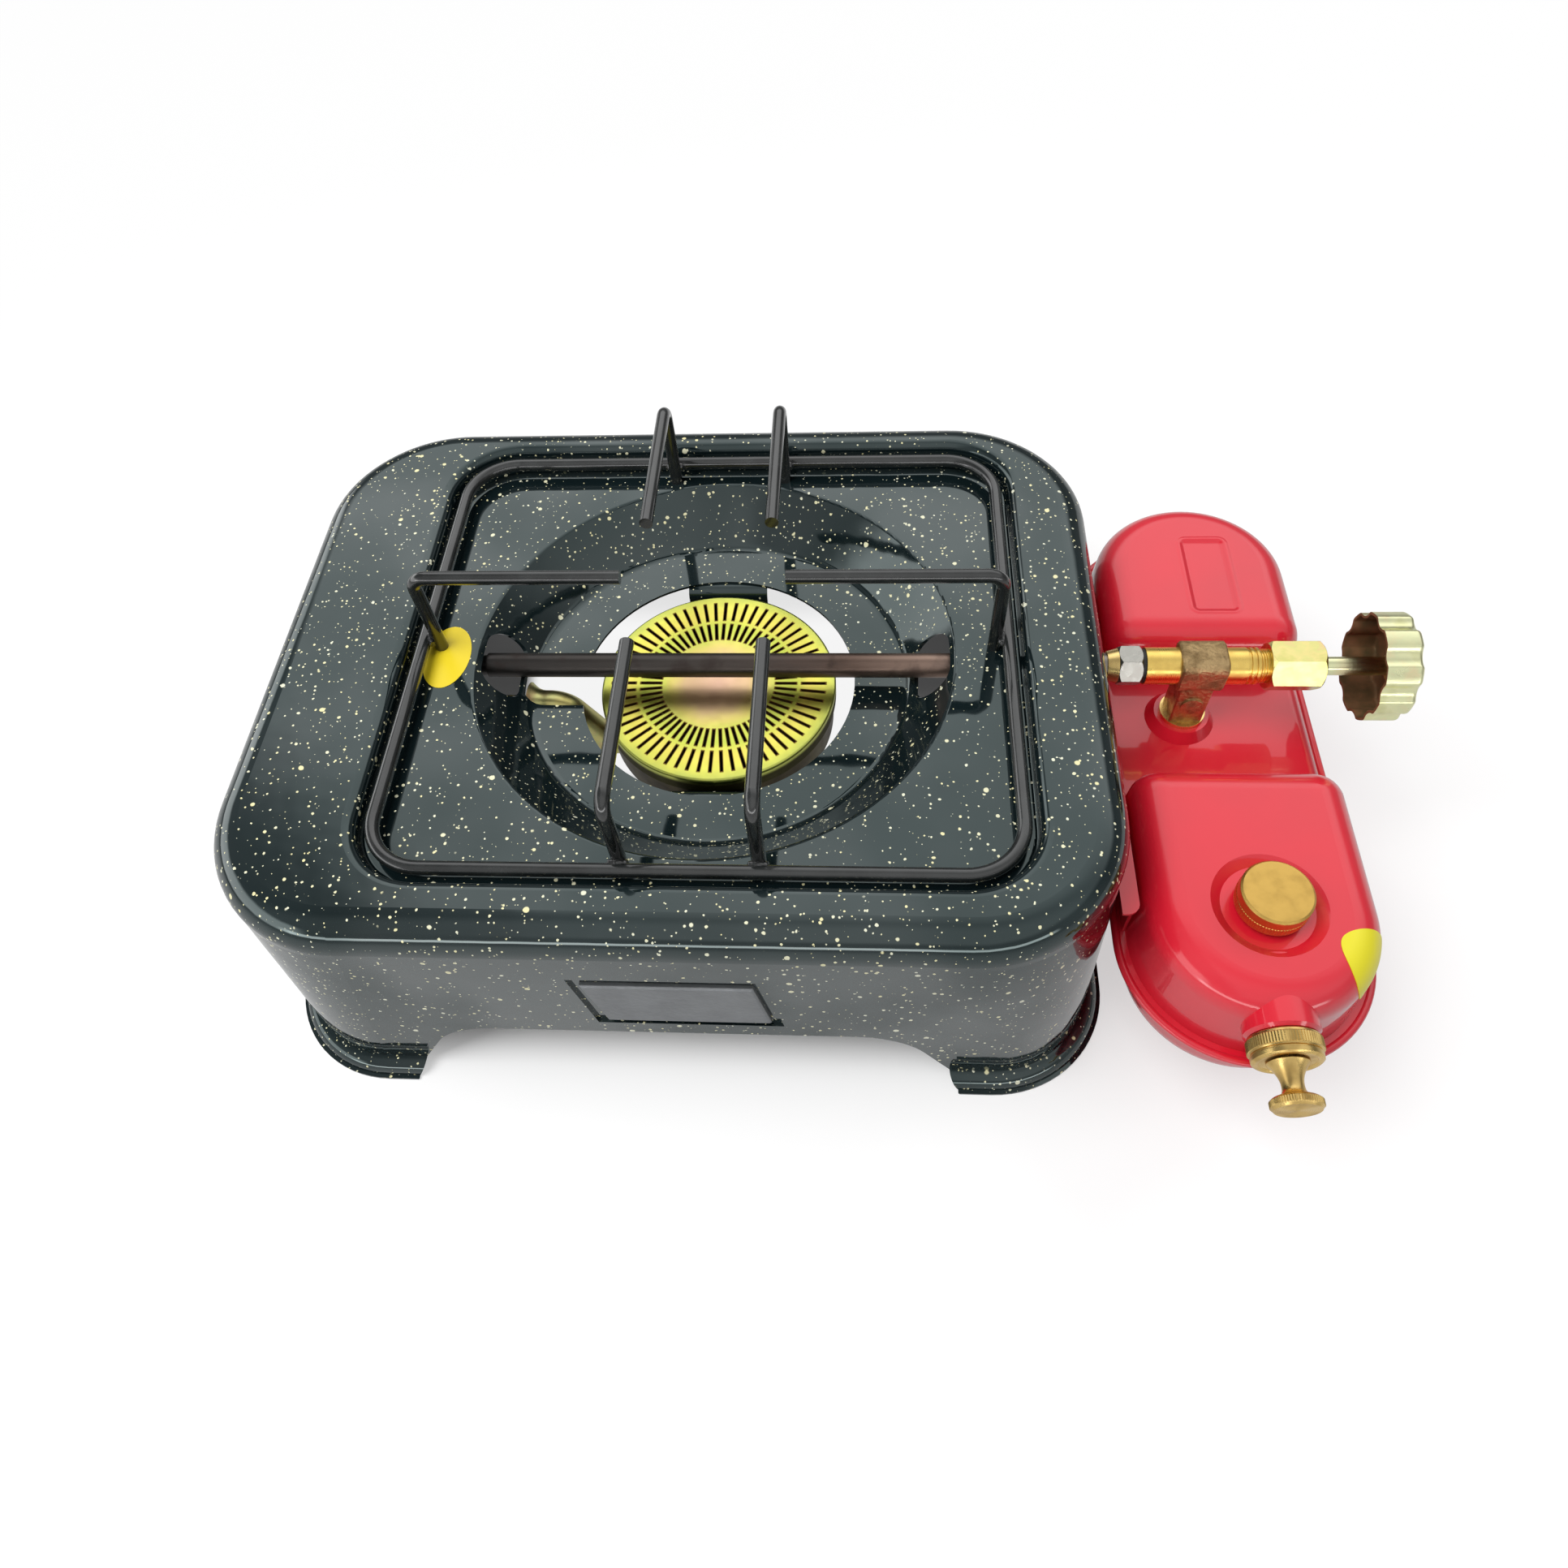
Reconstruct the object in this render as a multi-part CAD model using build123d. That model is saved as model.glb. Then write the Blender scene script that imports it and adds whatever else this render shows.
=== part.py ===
"""Single burner petrol stove.

An enamelled pressed body on four flared feet carries a burner in a deep bowl, a wire
grate that lifts off, and a petrol tank that hangs on its right side. A generator tube
crosses over the burner and joins the needle valve on top of the tank. Millimetres, +Z up.
Sizes are given about the burner's upright axis, with the ground at zero height, and the
finished pieces are moved so that the origin is the middle of the whole stove's base.
"""
import os
from math import hypot, sqrt

from build123d import *

os.makedirs("parts", exist_ok=True)

# Clearances and overruns used all over the stove
overrun = 1.0
push_gap = 0.3
running_gap = 0.06
pick_band = 0.05

# Pressed body: its height, the frames of its top round the recess, its corners and feet
sheet = 1.2
body_top = 123.5
left_frame = 58.0
right_frame = 33.0
front_frame = 24.5
back_frame = 18.5
body_corner = 59.0
foot_corner = 42.0
shoulder = 13.0
shoulder_block = 16.0
ankle_height = 12.0
flare_radius = 6.4
flare_flat = 1.6

# Recess that takes the grate
recess_ledge = 14.5
recess_drop = 9.5
recess_lip = 4.0
recess_root = 2.0

# Bowl, its centre hole and the holes that let the generator through
bowl_slant = 19.0
bowl_ledge = 22.0
bowl_hole_gap = 8.0
bowl_drop = 21.0
bowl_lip = 2.0
bowl_root = 5.0
notch_half_width = 13.0
notch_overcut = 5.5
window_half_width = 15.0
window_half_height = 7.6
window_overcut = 12.5
line_hole = 9.5

# Arches between the feet
arch_height = 43.0
front_leg = 55.0
front_leg_slant = 25.5
side_leg = 57.5
side_leg_slant = 24.0
arch_round = 32.0

# Plain name plate in its sunk panel on the front
panel_width = 78.0
panel_height = 41.0
panel_slant = 5.0
panel_sink = 1.5
panel_height_above_ground = 73.0
panel_from_burner = 6.5
plate_margin = 4.5
plate_thickness = 2.4
plate_edge = 0.8
plate_pin_radius = 1.2
plate_pin_spread = 44.0
plate_pin_tail = 2.6

# Wire grate: ring, fingers and their feet
wire = 5.5
ring_width = 240.0
ring_side_gap = 6.0
ring_end_gap = 6.3
ring_corner = 22.0
ring_rise = 6.0
finger_rise = 34.7
finger_bend = 6.0
weld_bite = 0.4
side_finger_offset = 1.6
pair_half_spread = 25.2
side_tip = 32.0
pair_tip = 31.0

# Burner: pan, slotted cap, mixing tube and the bridge below it
cap_radius = 50.5
cap_skirt = 8.0
cap_below_bowl = 1.0
cap_wall = 1.0
cap_edge = 1.2
slot_count = 60
slot_width = 1.1
slot_margin = 4.5
outer_slot_length = 10.0
slot_band = 2.5
inner_slot_length = 8.7
pan_wall = 1.0
pan_depth = 27.0
pan_round = 6.0
mixer_below_line = 28.5
mixer_radius = 7.0
mixer_wall = 1.0
mixer_mouth = 10.6
mixer_bell = 7.0
mixer_end_gap = 11.5
mixer_neck = 7.5
mixer_slant = 14.0
mixer_dip = 24.5
mixer_riser_inset = 16.5
mixer_bend = 11.0
bridge_width = 36.0
bridge_sheet = 1.5
bridge_leg_gap = 4.5
bridge_end_inset = 5.5
bridge_round = 4.0
bolt_radius = 2.5
bolt_head_af = 8.0
bolt_head = 3.5

# Generator: tube over the burner, return bend, jet
line_above_bowl = 11.0
generator_radius = 5.1
generator_wall = 1.2
generator_inset = 2.5
filler_rod_gap = 0.4
bend_tube = 4.2
bend_bore = 2.2
jet_af = 9.0
jet_body = 5.5
jet_tip = 3.0
jet_tip_base = 3.6
jet_tip_radius = 2.0
jet_bore = 0.6

# Valve line outside the right wall, measured from the wall outwards
cone_start = 2.2
cone_length = 4.4
cone_small = 5.9
cone_large = 7.2
nut_length = 9.4
nut_af = 14.8
washer_length = 1.4
washer_radius = 7.0
inner_sleeve = 13.6
sleeve_radius = 7.6
block_length = 18.6
block_width = 17.0
block_round = 4.5
leg_width = 13.4
leg_plug_radius = 4.6
leg_plug_rise = 0.9
leg_plug_share = 0.62
outer_sleeve = 12.6
thread_length = 9.0
thread_radius = 6.5
sleeve_grooves = 2
sleeve_pitch = 2.2
sleeve_groove = 0.6
packing_nut_start = 4.0
packing_nut_length = 21.2
packing_nut_af = 18.4
packing_length = 5.0
line_bore = 4.5
stem_radius = 3.8
stem_tip = 9.0
stem_end_radius = 3.0
wheel_start = 17.2
wheel_radius = 22.0
wheel_length = 14.4
wheel_wall = 1.1
wheel_lobes = 9
flute_radius = 5.6
flute_inset = 1.9
flute_round = 2.2
wheel_edge = 2.4
wheel_screw_radius = 4.4
wheel_screw_length = 1.8
wheel_hub_radius = 7.5
wheel_hub_length = 2.0

# Tank: two pressed shells with a rolled seam
shell_to_wall = 7.1
tank_rear_setback = 64.5
tank_front_setback = 35.5
tank_sheet = 1.1
seam_below_line = 46.0
seam_flange = 5.1
bead_radius = 1.7
shell_radius = 44.4
shell_draft = 6.0
upper_rise = 35.0
lower_drop = 32.0
dome_round = 13.0
dome_corner = 14.0
saddle_rise = 10.5
saddle_round = 6.0
belly_round = 15.0
saddle_rear = 22.0
front_dome_run = 66.0
plaque_width = 20.0
plaque_length = 44.0
plaque_corner = 3.0
plaque_depth = 0.8
plaque_from_middle = 5.5
plaque_setback = 6.0

# Valve bung in the saddle
bung_socket_rise = 4.6
bung_socket_radius = 14.5
bung_socket_top = 11.5
bung_radius = 8.6
bung_rise = 1.8
bung_depth = 7.0
bung_bore = 4.0
pickup_radius = 3.0
pickup_bore = 2.0
pickup_clearance = 4.0

# Filler: dish in the front dome, neck, gasket and screw cap
dish_radius = 21.0
dish_floor_radius = 17.0
dish_depth = 2.6
neck_radius = 10.4
neck_bore = 7.6
neck_rise = 9.0
gasket_thickness = 1.6
filler_cap_radius = 13.0
filler_cap_height = 9.6
filler_cap_crown = 2.0

# Pump: cylinder through the front of the tank, knurled cap, plunger
pump_above_seam = 20.5
socket_radius = 13.2
socket_rise = 0.8
socket_end = 1.2
cylinder_radius = 9.0
cylinder_bore = 8.1
pump_cap_radius = 13.0
pump_cap_length = 9.5
piston_length = 9.0
piston_back_gap = 3.0
plunger_rod = 3.0
plunger_nut_af = 7.0
plunger_nut_length = 2.6
knob_flare_radius = 7.4
knob_waist = 3.8
knob_neck = 11.8
knob_radius = 9.0
knob_length = 4.8
knob_edge = 1.2
knob_waist_share = 0.62
pump_stroke = 75.0
stroke_spare = 2.2
check_valve_radius = 5.0
check_valve_length = 6.5

# Bracket that hangs the tank on the right wall
bracket_sheet = 1.2
bracket_above_seam = 27.0
bracket_overhang = 1.0
bracket_tail = 6.0
bracket_round = 6.0
hook_width = 32.0
hook_reach = 3.4
hook_drop = 8.0
hook_slot_gap = 0.6
hook_spread_share = 0.62

# Places worked out from the sizes above
bowl_hole = cap_radius + bowl_hole_gap
bowl_floor = bowl_hole + bowl_ledge
bowl_mouth = bowl_floor + bowl_slant
notch_reach = bowl_floor + notch_overcut
window_reach = bowl_mouth + window_overcut
recess_width = ring_width + 2 * ring_side_gap
recess_depth = 2 * (bowl_mouth + recess_ledge)
recess_corner = ring_corner + ring_side_gap
ring_depth = recess_depth - 2 * ring_end_gap
body_width = left_frame + recess_width + right_frame
body_depth = front_frame + recess_depth + back_frame
right_wall = recess_width / 2 + right_frame
front_wall = -recess_depth / 2 - front_frame
body_x = right_wall - body_width / 2
body_y = front_wall + body_depth / 2
front_arch_foot = body_width / 2 - front_leg
front_arch_crown = front_arch_foot - front_leg_slant
side_arch_foot = body_depth / 2 - side_leg
side_arch_crown = side_arch_foot - side_leg_slant
recess_floor = body_top - recess_drop
bowl_bottom = recess_floor - bowl_drop
ring_height = recess_floor + ring_rise
finger_height = ring_height + finger_rise
flare_top = flare_radius + sheet
flare_width = flare_radius + flare_flat

cap_top = bowl_bottom - cap_below_bowl
line_height = bowl_bottom + line_above_bowl
outer_slot_end = cap_radius - slot_margin
outer_slot_start = outer_slot_end - outer_slot_length
inner_slot_end = outer_slot_start - slot_band
inner_slot_start = inner_slot_end - inner_slot_length
generator_left = bowl_mouth - generator_inset
mixer_height = line_height - mixer_below_line
mixer_end = generator_left - mixer_end_gap
mixer_riser = cap_radius - mixer_riser_inset
bridge_leg = bowl_hole - bridge_leg_gap
bridge_end = bowl_floor - bridge_end_inset

tank_x = right_wall + shell_to_wall + shell_radius
seam_radius = shell_radius + seam_flange
tank_front_centre = -front_wall - tank_front_setback
tank_rear_centre = front_wall + body_depth - tank_rear_setback
saddle_front = tank_front_centre - front_dome_run
plaque_from_burner = tank_rear_centre - plaque_setback
bracket_front = tank_front_centre + bracket_overhang
bracket_rear = tank_rear_centre + bracket_tail
seam_height = line_height - seam_below_line
pump_height = seam_height + pump_above_seam
bracket_height = seam_height + bracket_above_seam
dome_top = seam_height + upper_rise
saddle_floor = seam_height + saddle_rise
bracket_face = tank_x - shell_radius

pan_bottom = cap_top - cap_wall - pan_depth

cone_x = right_wall + cone_start
nut_x = cone_x + cone_length
washer_x = nut_x + nut_length
inner_sleeve_x = washer_x + washer_length
block_x = inner_sleeve_x + inner_sleeve
block_middle = block_x + block_length / 2
outer_sleeve_x = block_x + block_length
thread_x = outer_sleeve_x + outer_sleeve
packing_nut_x = thread_x + packing_nut_start
packing_x = thread_x + thread_length
wheel_x = packing_nut_x + packing_nut_length + wheel_start
wheel_face = wheel_x + wheel_length

pump_face = tank_front_centre + shell_radius + socket_rise
pump_cap_face = pump_face + pump_cap_length
knob_start = pump_cap_face + knob_neck
knob_end = knob_start + knob_length
piston_start = pump_stroke + stroke_spare
piston_end = piston_start + piston_length
plunger_end = piston_end + plunger_nut_length
cylinder_length = plunger_end + piston_back_gap + 2 * tank_sheet

stove_left = body_x - body_width / 2 - flare_width
stove_right = wheel_face + wheel_screw_length
stove_front = -knob_end
stove_back = body_y + body_depth / 2 + flare_width
origin_x = (stove_left + stove_right) / 2
origin_y = (stove_front + stove_back) / 2


def save(name, shape):
    """Move a finished piece into the stove's own frame and write its file."""
    export_step(Pos(-origin_x, -origin_y, 0) * shape, f"parts/{name}.step")


def turned(points):
    """Turn a closed outline of (radius, height) points about the upright axis."""
    outline = make_face(Polyline(*points, close=True))
    return revolve(Plane.XZ * outline, Axis.Z)


def valve_line(x):
    """Frame on the valve line at x, whose own Z runs outwards along +X."""
    return Plane((x, 0, line_height), x_dir=(0, 1, 0), z_dir=(1, 0, 0))


def pump_line(reach):
    """Frame on the pump axis, reach in front of the burner axis, whose Z runs forwards."""
    return Plane((tank_x, -reach, pump_height), x_dir=(1, 0, 0), z_dir=(0, -1, 0))


def sleeve(outer, inner, length):
    """Plain tube that stands on the ground plane."""
    return turned([(inner, 0), (outer, 0), (outer, length), (inner, length)])


def hexagon(across_flats, length):
    """Six-sided bar that stands on the ground plane, its corners chamfered by turning."""
    flat = across_flats / 2
    corner = across_flats / sqrt(3)
    slope = corner - flat
    bar = extrude(RegularPolygon(flat, 6, major_radius=False), length)
    shape = turned([
        (0, 0), (flat, 0), (corner + overrun, slope + overrun),
        (corner + overrun, length - slope - overrun), (flat, length), (0, length),
    ])
    return bar & shape


def level_edges(shape, height):
    """Edges that lie flat at one height."""
    return shape.edges().filter_by_position(Axis.Z, height - pick_band, height + pick_band)


def round_edges(shape, radius):
    """Circular edges of one radius."""
    circles = shape.edges().filter_by(GeomType.CIRCLE)
    return [e for e in circles if abs(e.radius - radius) < pick_band]


def body_block(inset, base):
    """Solid form of the body, drawn in by inset on all sides and on top.

    The wall's corners open from the tight ones above the feet to the wide ones of the top.
    """
    width = body_width - 2 * inset
    depth = body_depth - 2 * inset
    top = body_top - inset
    block_base = body_top - shoulder_block
    low = RectangleRounded(width, depth, foot_corner - inset)
    high = RectangleRounded(width, depth, body_corner - inset)
    ankle = extrude(Pos(body_x, body_y, base) * low, ankle_height - base)
    ends = [Pos(body_x, body_y, ankle_height) * low, Pos(body_x, body_y, block_base) * high]
    wall = loft(ends, ruled=True)
    crown = extrude(Pos(body_x, body_y, block_base) * high, top - block_base)
    crown = fillet(level_edges(crown, top), shoulder - inset)
    return ankle + wall + crown


def recess_block(grow):
    """Space above the recess floor, grown by the sheet for the underside."""
    plan = RectangleRounded(recess_width + 2 * grow, recess_depth + 2 * grow, recess_corner + grow)
    low = recess_floor - grow
    return extrude(Pos(0, 0, low) * plan, body_top + overrun - low)


def bowl_spread(grow):
    """How far the bowl's floor and mouth move out when its wall moves square to itself."""
    slope = (bowl_mouth - bowl_floor) / bowl_drop
    return grow * (hypot(1, slope) - slope)


def bowl_block(grow):
    """Space of the bowl, grown by the sheet for the underside."""
    low = bowl_bottom - grow
    high = recess_floor - grow
    floor_radius = bowl_floor + bowl_spread(grow)
    mouth_radius = bowl_mouth + bowl_spread(grow)
    return turned([
        (0, low), (floor_radius, low), (mouth_radius, high),
        (mouth_radius, high + overrun), (0, high + overrun),
    ])


def pressed(block, grow):
    """Press the recess and the bowl into a block and round their edges.

    A bulging edge loses the sheet on its underside, and a hollow one gains it.
    """
    solid = block - recess_block(grow) - bowl_block(grow)
    half_x = recess_width / 2 + grow + overrun
    half_y = recess_depth / 2 + grow + overrun
    top_edges = level_edges(solid, body_top - grow)
    lip = [e for e in top_edges if abs(e.center().X) < half_x and abs(e.center().Y) < half_y]
    solid = fillet(lip, recess_lip - grow)
    mouth_radius = bowl_mouth + bowl_spread(grow)
    floor_radius = bowl_floor + bowl_spread(grow)
    floor_edges = level_edges(solid, recess_floor - grow)
    mouth = round_edges(solid, mouth_radius)
    root = [e for e in floor_edges if e not in mouth]
    solid = fillet(root, recess_root + grow)
    solid = fillet(round_edges(solid, mouth_radius), bowl_lip - grow)
    return fillet(round_edges(solid, floor_radius), bowl_root + grow)


def panel(width, height, depth_from, depth_to):
    """Upright slanted plate shape on the front wall, from one depth in it to another."""
    half = width / 2
    points = [
        (-half, height / 2), (half - panel_slant, height / 2),
        (half, -height / 2), (panel_slant - half, -height / 2),
    ]
    place = (-panel_from_burner, front_wall + depth_from, panel_height_above_ground)
    upright = Plane(place, x_dir=(1, 0, 0), z_dir=(0, -1, 0))
    return extrude(upright * make_face(Polyline(*points, close=True)), depth_from - depth_to)


def flare():
    """Rolled-out foot edge: one quarter of the outline, mirrored to all four corners."""
    outline = make_face(
        Line((-sheet, flare_top), (0, flare_top))
        + RadiusArc((0, flare_top), (flare_radius, sheet), flare_radius)
        + Line((flare_radius, sheet), (flare_width, sheet))
        + Line((flare_width, sheet), (flare_width, 0))
        + Line((flare_width, 0), (flare_radius, 0))
        + RadiusArc((flare_radius, 0), (-sheet, flare_top), -(flare_radius + sheet))
    )
    centre_x = body_x + body_width / 2 - foot_corner
    centre_y = body_y + body_depth / 2 - foot_corner
    at_side = Plane((right_wall, centre_y, 0), x_dir=(1, 0, 0), z_dir=(0, -1, 0)) * outline
    corner = revolve(at_side, Axis((centre_x, centre_y, 0), (0, 0, 1)), 90)
    back_wall = body_y + body_depth / 2
    at_back = Plane((centre_x, back_wall, 0), x_dir=(0, 1, 0), z_dir=(1, 0, 0)) * outline
    side_run = extrude(at_side, centre_y - body_y)
    back_run = extrude(at_back, -(centre_x - body_x))
    quarter = corner + side_run + back_run
    half = quarter + mirror(quarter, Plane.YZ.offset(body_x))
    return half + mirror(half, Plane.XZ.offset(-body_y))


def arch(foot, crown, through):
    """Arch cut along the ground, extruded both ways through the body."""
    points = [(-foot, 0), (-crown, arch_height), (crown, arch_height), (foot, 0)]
    opening = make_face(Polyline(*points, close=True))
    crown_points = opening.vertices().group_by(Axis.Y)[-1]
    opening = fillet(crown_points, arch_round)
    skirt = Pos(0, -overrun / 2) * Rectangle(2 * foot, overrun)
    return extrude(opening + skirt, through, both=True)


def make_body():
    outer = pressed(body_block(0, flare_top), 0)
    inner = pressed(body_block(sheet, -overrun), sheet)
    outer = outer - panel(panel_width, panel_height, panel_sink, -overrun)
    inner = inner - panel(panel_width + 2 * sheet, panel_height + 2 * sheet, panel_sink + sheet, -overrun)
    shell = outer - inner + flare()
    reach = body_width
    front_arch = Pos(body_x, 0, 0) * (Plane.XZ * arch(front_arch_foot, front_arch_crown, reach))
    side_arch = Pos(0, body_y, 0) * (Plane.YZ * arch(side_arch_foot, side_arch_crown, reach))
    shell = shell - front_arch - side_arch
    # Centre hole with its notch over the mixing tube
    notch_run = notch_reach - notch_half_width
    floor_cuts = Circle(bowl_hole) + Pos(-notch_run, 0) * Circle(notch_half_width)
    floor_cuts += Pos(-notch_run / 2, 0) * Rectangle(notch_run, 2 * notch_half_width)
    shell = shell - extrude(Pos(0, 0, bowl_bottom) * floor_cuts, 2 * sheet, both=True)
    # Windows in the bowl wall and the hole in the right wall for the generator
    slot = SlotOverall(2 * window_half_width, 2 * window_half_height)
    window = extrude(valve_line(bowl_hole) * slot, window_reach - bowl_hole)
    window += extrude(valve_line(-window_reach) * slot, window_reach - bowl_hole)
    outlet = extrude(valve_line(right_wall - shoulder) * Circle(line_hole), 2 * shoulder)
    shell = shell - window - outlet
    # Slots for the tank hooks and holes for the name plate pins
    for y in hook_places():
        hook_slot = Box(4 * sheet, hook_width + 2 * hook_slot_gap, bracket_sheet + 2 * hook_slot_gap)
        shell = shell - Pos(right_wall, y, bracket_height - bracket_sheet / 2) * hook_slot
    for x in plate_pin_places():
        shell = shell - Pos(x, front_wall, panel_height_above_ground) * Rot(90, 0, 0) * Cylinder(
            plate_pin_radius + running_gap, 6 * sheet
        )
    return shell


def hook_places():
    """Y places of the two tank hooks along the bracket."""
    length = bracket_front + bracket_rear
    middle = (bracket_rear - bracket_front) / 2
    spread = length * hook_spread_share / 2
    return [middle - spread, middle + spread]


def plate_pin_places():
    return [-panel_from_burner - plate_pin_spread / 2, -panel_from_burner + plate_pin_spread / 2]


def make_name_plate():
    width = panel_width - 2 * plate_margin
    height = panel_height - 2 * plate_margin
    plate = panel(width, height, panel_sink, panel_sink - plate_thickness)
    front_face = plate.faces().sort_by(Axis.Y)[0]
    return chamfer(front_face.edges(), plate_edge)


def make_plate_pins():
    length = sheet + plate_pin_tail
    pins = []
    for x in plate_pin_places():
        place = Pos(x, front_wall + panel_sink, panel_height_above_ground) * Rot(-90, 0, 0)
        pin = turned([
            (0, 0), (plate_pin_radius, 0), (plate_pin_radius, sheet),
            (plate_pin_radius + plate_edge, sheet + plate_edge / 2),
            (plate_pin_radius + plate_edge, sheet + plate_edge), (plate_pin_radius, length), (0, length),
        ])
        pins.append(place * pin)
    return Compound(children=pins)


# Wire grate


def bent_wire(points):
    """Round wire along a path with one rounded bend, its ends cut square."""
    path = FilletPolyline(*points, radius=finger_bend)
    start = Plane(origin=path @ 0, z_dir=path % 0)
    return sweep(start * Circle(wire / 2), path)


def make_ring():
    """Closed ring of wire in the shape of a rectangle with round corners."""
    half_x = ring_width / 2
    half_y = ring_depth / 2
    run_x = ring_width - 2 * ring_corner
    run_y = ring_depth - 2 * ring_corner
    side_start = (half_x, half_y - ring_corner, ring_height)
    corner_face = Plane(side_start, x_dir=(1, 0, 0), z_dir=(0, 1, 0)) * Circle(wire / 2)
    bend_axis = Axis((half_x - ring_corner, half_y - ring_corner, ring_height), (0, 0, 1))
    corner = revolve(corner_face, bend_axis, 90)
    side = extrude(corner_face, -run_y / 2)
    end_start = (half_x - ring_corner, half_y, ring_height)
    end_face = Plane(end_start, x_dir=(0, 1, 0), z_dir=(1, 0, 0)) * Circle(wire / 2)
    end = extrude(end_face, -run_x / 2)
    quarter = corner + side + end
    half = quarter + mirror(quarter, Plane.YZ)
    return half + mirror(half, Plane.XZ)


def make_fingers():
    """Six fingers welded to the inside of the ring, each standing on the recess floor."""
    leg_x = ring_width / 2 - wire + weld_bite
    leg_y = ring_depth / 2 - wire + weld_bite
    plans = {
        "grate_finger_left": ((-leg_x, side_finger_offset), (-side_tip, side_finger_offset)),
        "grate_finger_right": ((leg_x, side_finger_offset), (side_tip, side_finger_offset)),
    }
    for end, sign_y in (("front", -1), ("back", 1)):
        for side, sign_x in (("left", -1), ("right", 1)):
            x = sign_x * pair_half_spread
            plans[f"grate_finger_{end}_{side}"] = ((x, sign_y * leg_y), (x, sign_y * pair_tip))
    fingers = {}
    for name, (leg, tip) in plans.items():
        fingers[name] = bent_wire([(*leg, recess_floor), (*leg, finger_height), (*tip, finger_height)])
    return fingers


# Burner


def make_cap():
    inner = cap_radius - cap_wall
    low = cap_top - cap_skirt
    cap = turned([
        (0, cap_top - cap_wall), (inner, cap_top - cap_wall), (inner, low),
        (cap_radius, low), (cap_radius, cap_top), (0, cap_top),
    ])
    rim = [e for e in level_edges(cap, cap_top) if e.geom_type == GeomType.CIRCLE]
    cap = fillet(rim, cap_edge)
    slots = Sketch()
    for start, end in ((outer_slot_start, outer_slot_end), (inner_slot_start, inner_slot_end)):
        slots += PolarLocations((start + end) / 2, slot_count) * Rectangle(end - start, slot_width)
    cutter = extrude(Pos(0, 0, cap_top - cap_wall - overrun) * slots, cap_wall + 2 * overrun)
    return cap - cutter


def pan_radius():
    return cap_radius - cap_wall - push_gap


def make_pan():
    radius = pan_radius()
    low = pan_bottom
    block = Pos(0, 0, low + pan_depth / 2) * Cylinder(radius, pan_depth)
    block = fillet(level_edges(block, low), pan_round)
    hollow_base = low + pan_wall
    hollow = Pos(0, 0, hollow_base + pan_depth / 2) * Cylinder(radius - pan_wall, pan_depth)
    hollow = fillet(level_edges(hollow, hollow_base), pan_round - pan_wall)
    pan = block - hollow
    inlet = Pos(-mixer_riser, 0, low) * Cylinder(mixer_radius + running_gap, 4 * pan_wall)
    bolt_hole = Pos(0, 0, low) * Cylinder(bolt_radius + running_gap, 4 * pan_wall)
    return pan - inlet - bolt_hole


def mixer_line(x):
    """Frame on the mixing tube's axis, whose own Z runs along +X."""
    return Plane((x, 0, mixer_height), x_dir=(0, 1, 0), z_dir=(1, 0, 0))


def make_mixer():
    """Mixing tube: a bell mouth at the jet, a dip below the pan and a riser into its bottom."""
    bore = mixer_radius - mixer_wall
    mouth_bore = mixer_mouth - mixer_wall
    flow = ((-1, 1), (0, 1))
    outline = make_face(
        Spline((mixer_mouth, 0), (mixer_radius, mixer_bell), tangents=flow)
        + Line((mixer_radius, mixer_bell), (bore, mixer_bell))
        + Spline((mouth_bore, 0), (bore, mixer_bell), tangents=flow)
        + Line((mouth_bore, 0), (mixer_mouth, 0))
    )
    bell = mixer_line(-mixer_end) * revolve(Plane.XZ * outline, Axis.Z)
    start = mixer_bell - mixer_end
    dip_height = mixer_height - mixer_dip
    path = FilletPolyline(
        (start, 0, mixer_height), (start + mixer_neck, 0, mixer_height),
        (start + mixer_neck + mixer_slant, 0, dip_height), (-mixer_riser, 0, dip_height),
        (-mixer_riser, 0, pan_bottom + pan_wall), radius=mixer_bend,
    )
    section = mixer_line(start) * (Circle(mixer_radius) - Circle(bore))
    return bell + sweep(section, path)


def make_bridge():
    """Strap below the burner: a tray whose turned-out ends are welded under the bowl."""
    under_floor = bowl_bottom - sheet
    middle = [
        (-bridge_end, under_floor - bridge_sheet / 2), (-bridge_leg, under_floor - bridge_sheet / 2),
        (-bridge_leg, pan_bottom - bridge_sheet / 2), (bridge_leg, pan_bottom - bridge_sheet / 2),
        (bridge_leg, under_floor - bridge_sheet / 2), (bridge_end, under_floor - bridge_sheet / 2),
    ]
    line = FilletPolyline(*middle, radius=bridge_round)
    band = trace(line, bridge_sheet)
    strap = extrude(Plane.YZ * band, bridge_width / 2, both=True)
    return strap - Pos(0, 0, pan_bottom) * Cylinder(bolt_radius + running_gap, 4 * bridge_sheet)


def make_bolt():
    """Bolt up through the bridge into the pan, with its nut inside the pan."""
    low = pan_bottom - bridge_sheet
    grip = bridge_sheet + pan_wall
    head = Pos(0, 0, low - bolt_head) * hexagon(bolt_head_af, bolt_head)
    nut = Pos(0, 0, low + grip) * hexagon(bolt_head_af, bolt_head)
    shank = Pos(0, 0, low + grip / 2) * Cylinder(bolt_radius, grip + overrun)
    return head + nut + shank


# Generator


def make_generator():
    end = washer_x
    tube = sleeve(generator_radius, generator_radius - generator_wall, end + generator_left)
    return valve_line(-generator_left) * tube


def make_generator_core():
    bore = generator_radius - generator_wall
    length = cone_x + generator_left - 2 * bore
    core = Pos(0, 0, length / 2) * Cylinder(bore - filler_rod_gap, length)
    return valve_line(bore - generator_left) * core


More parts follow.
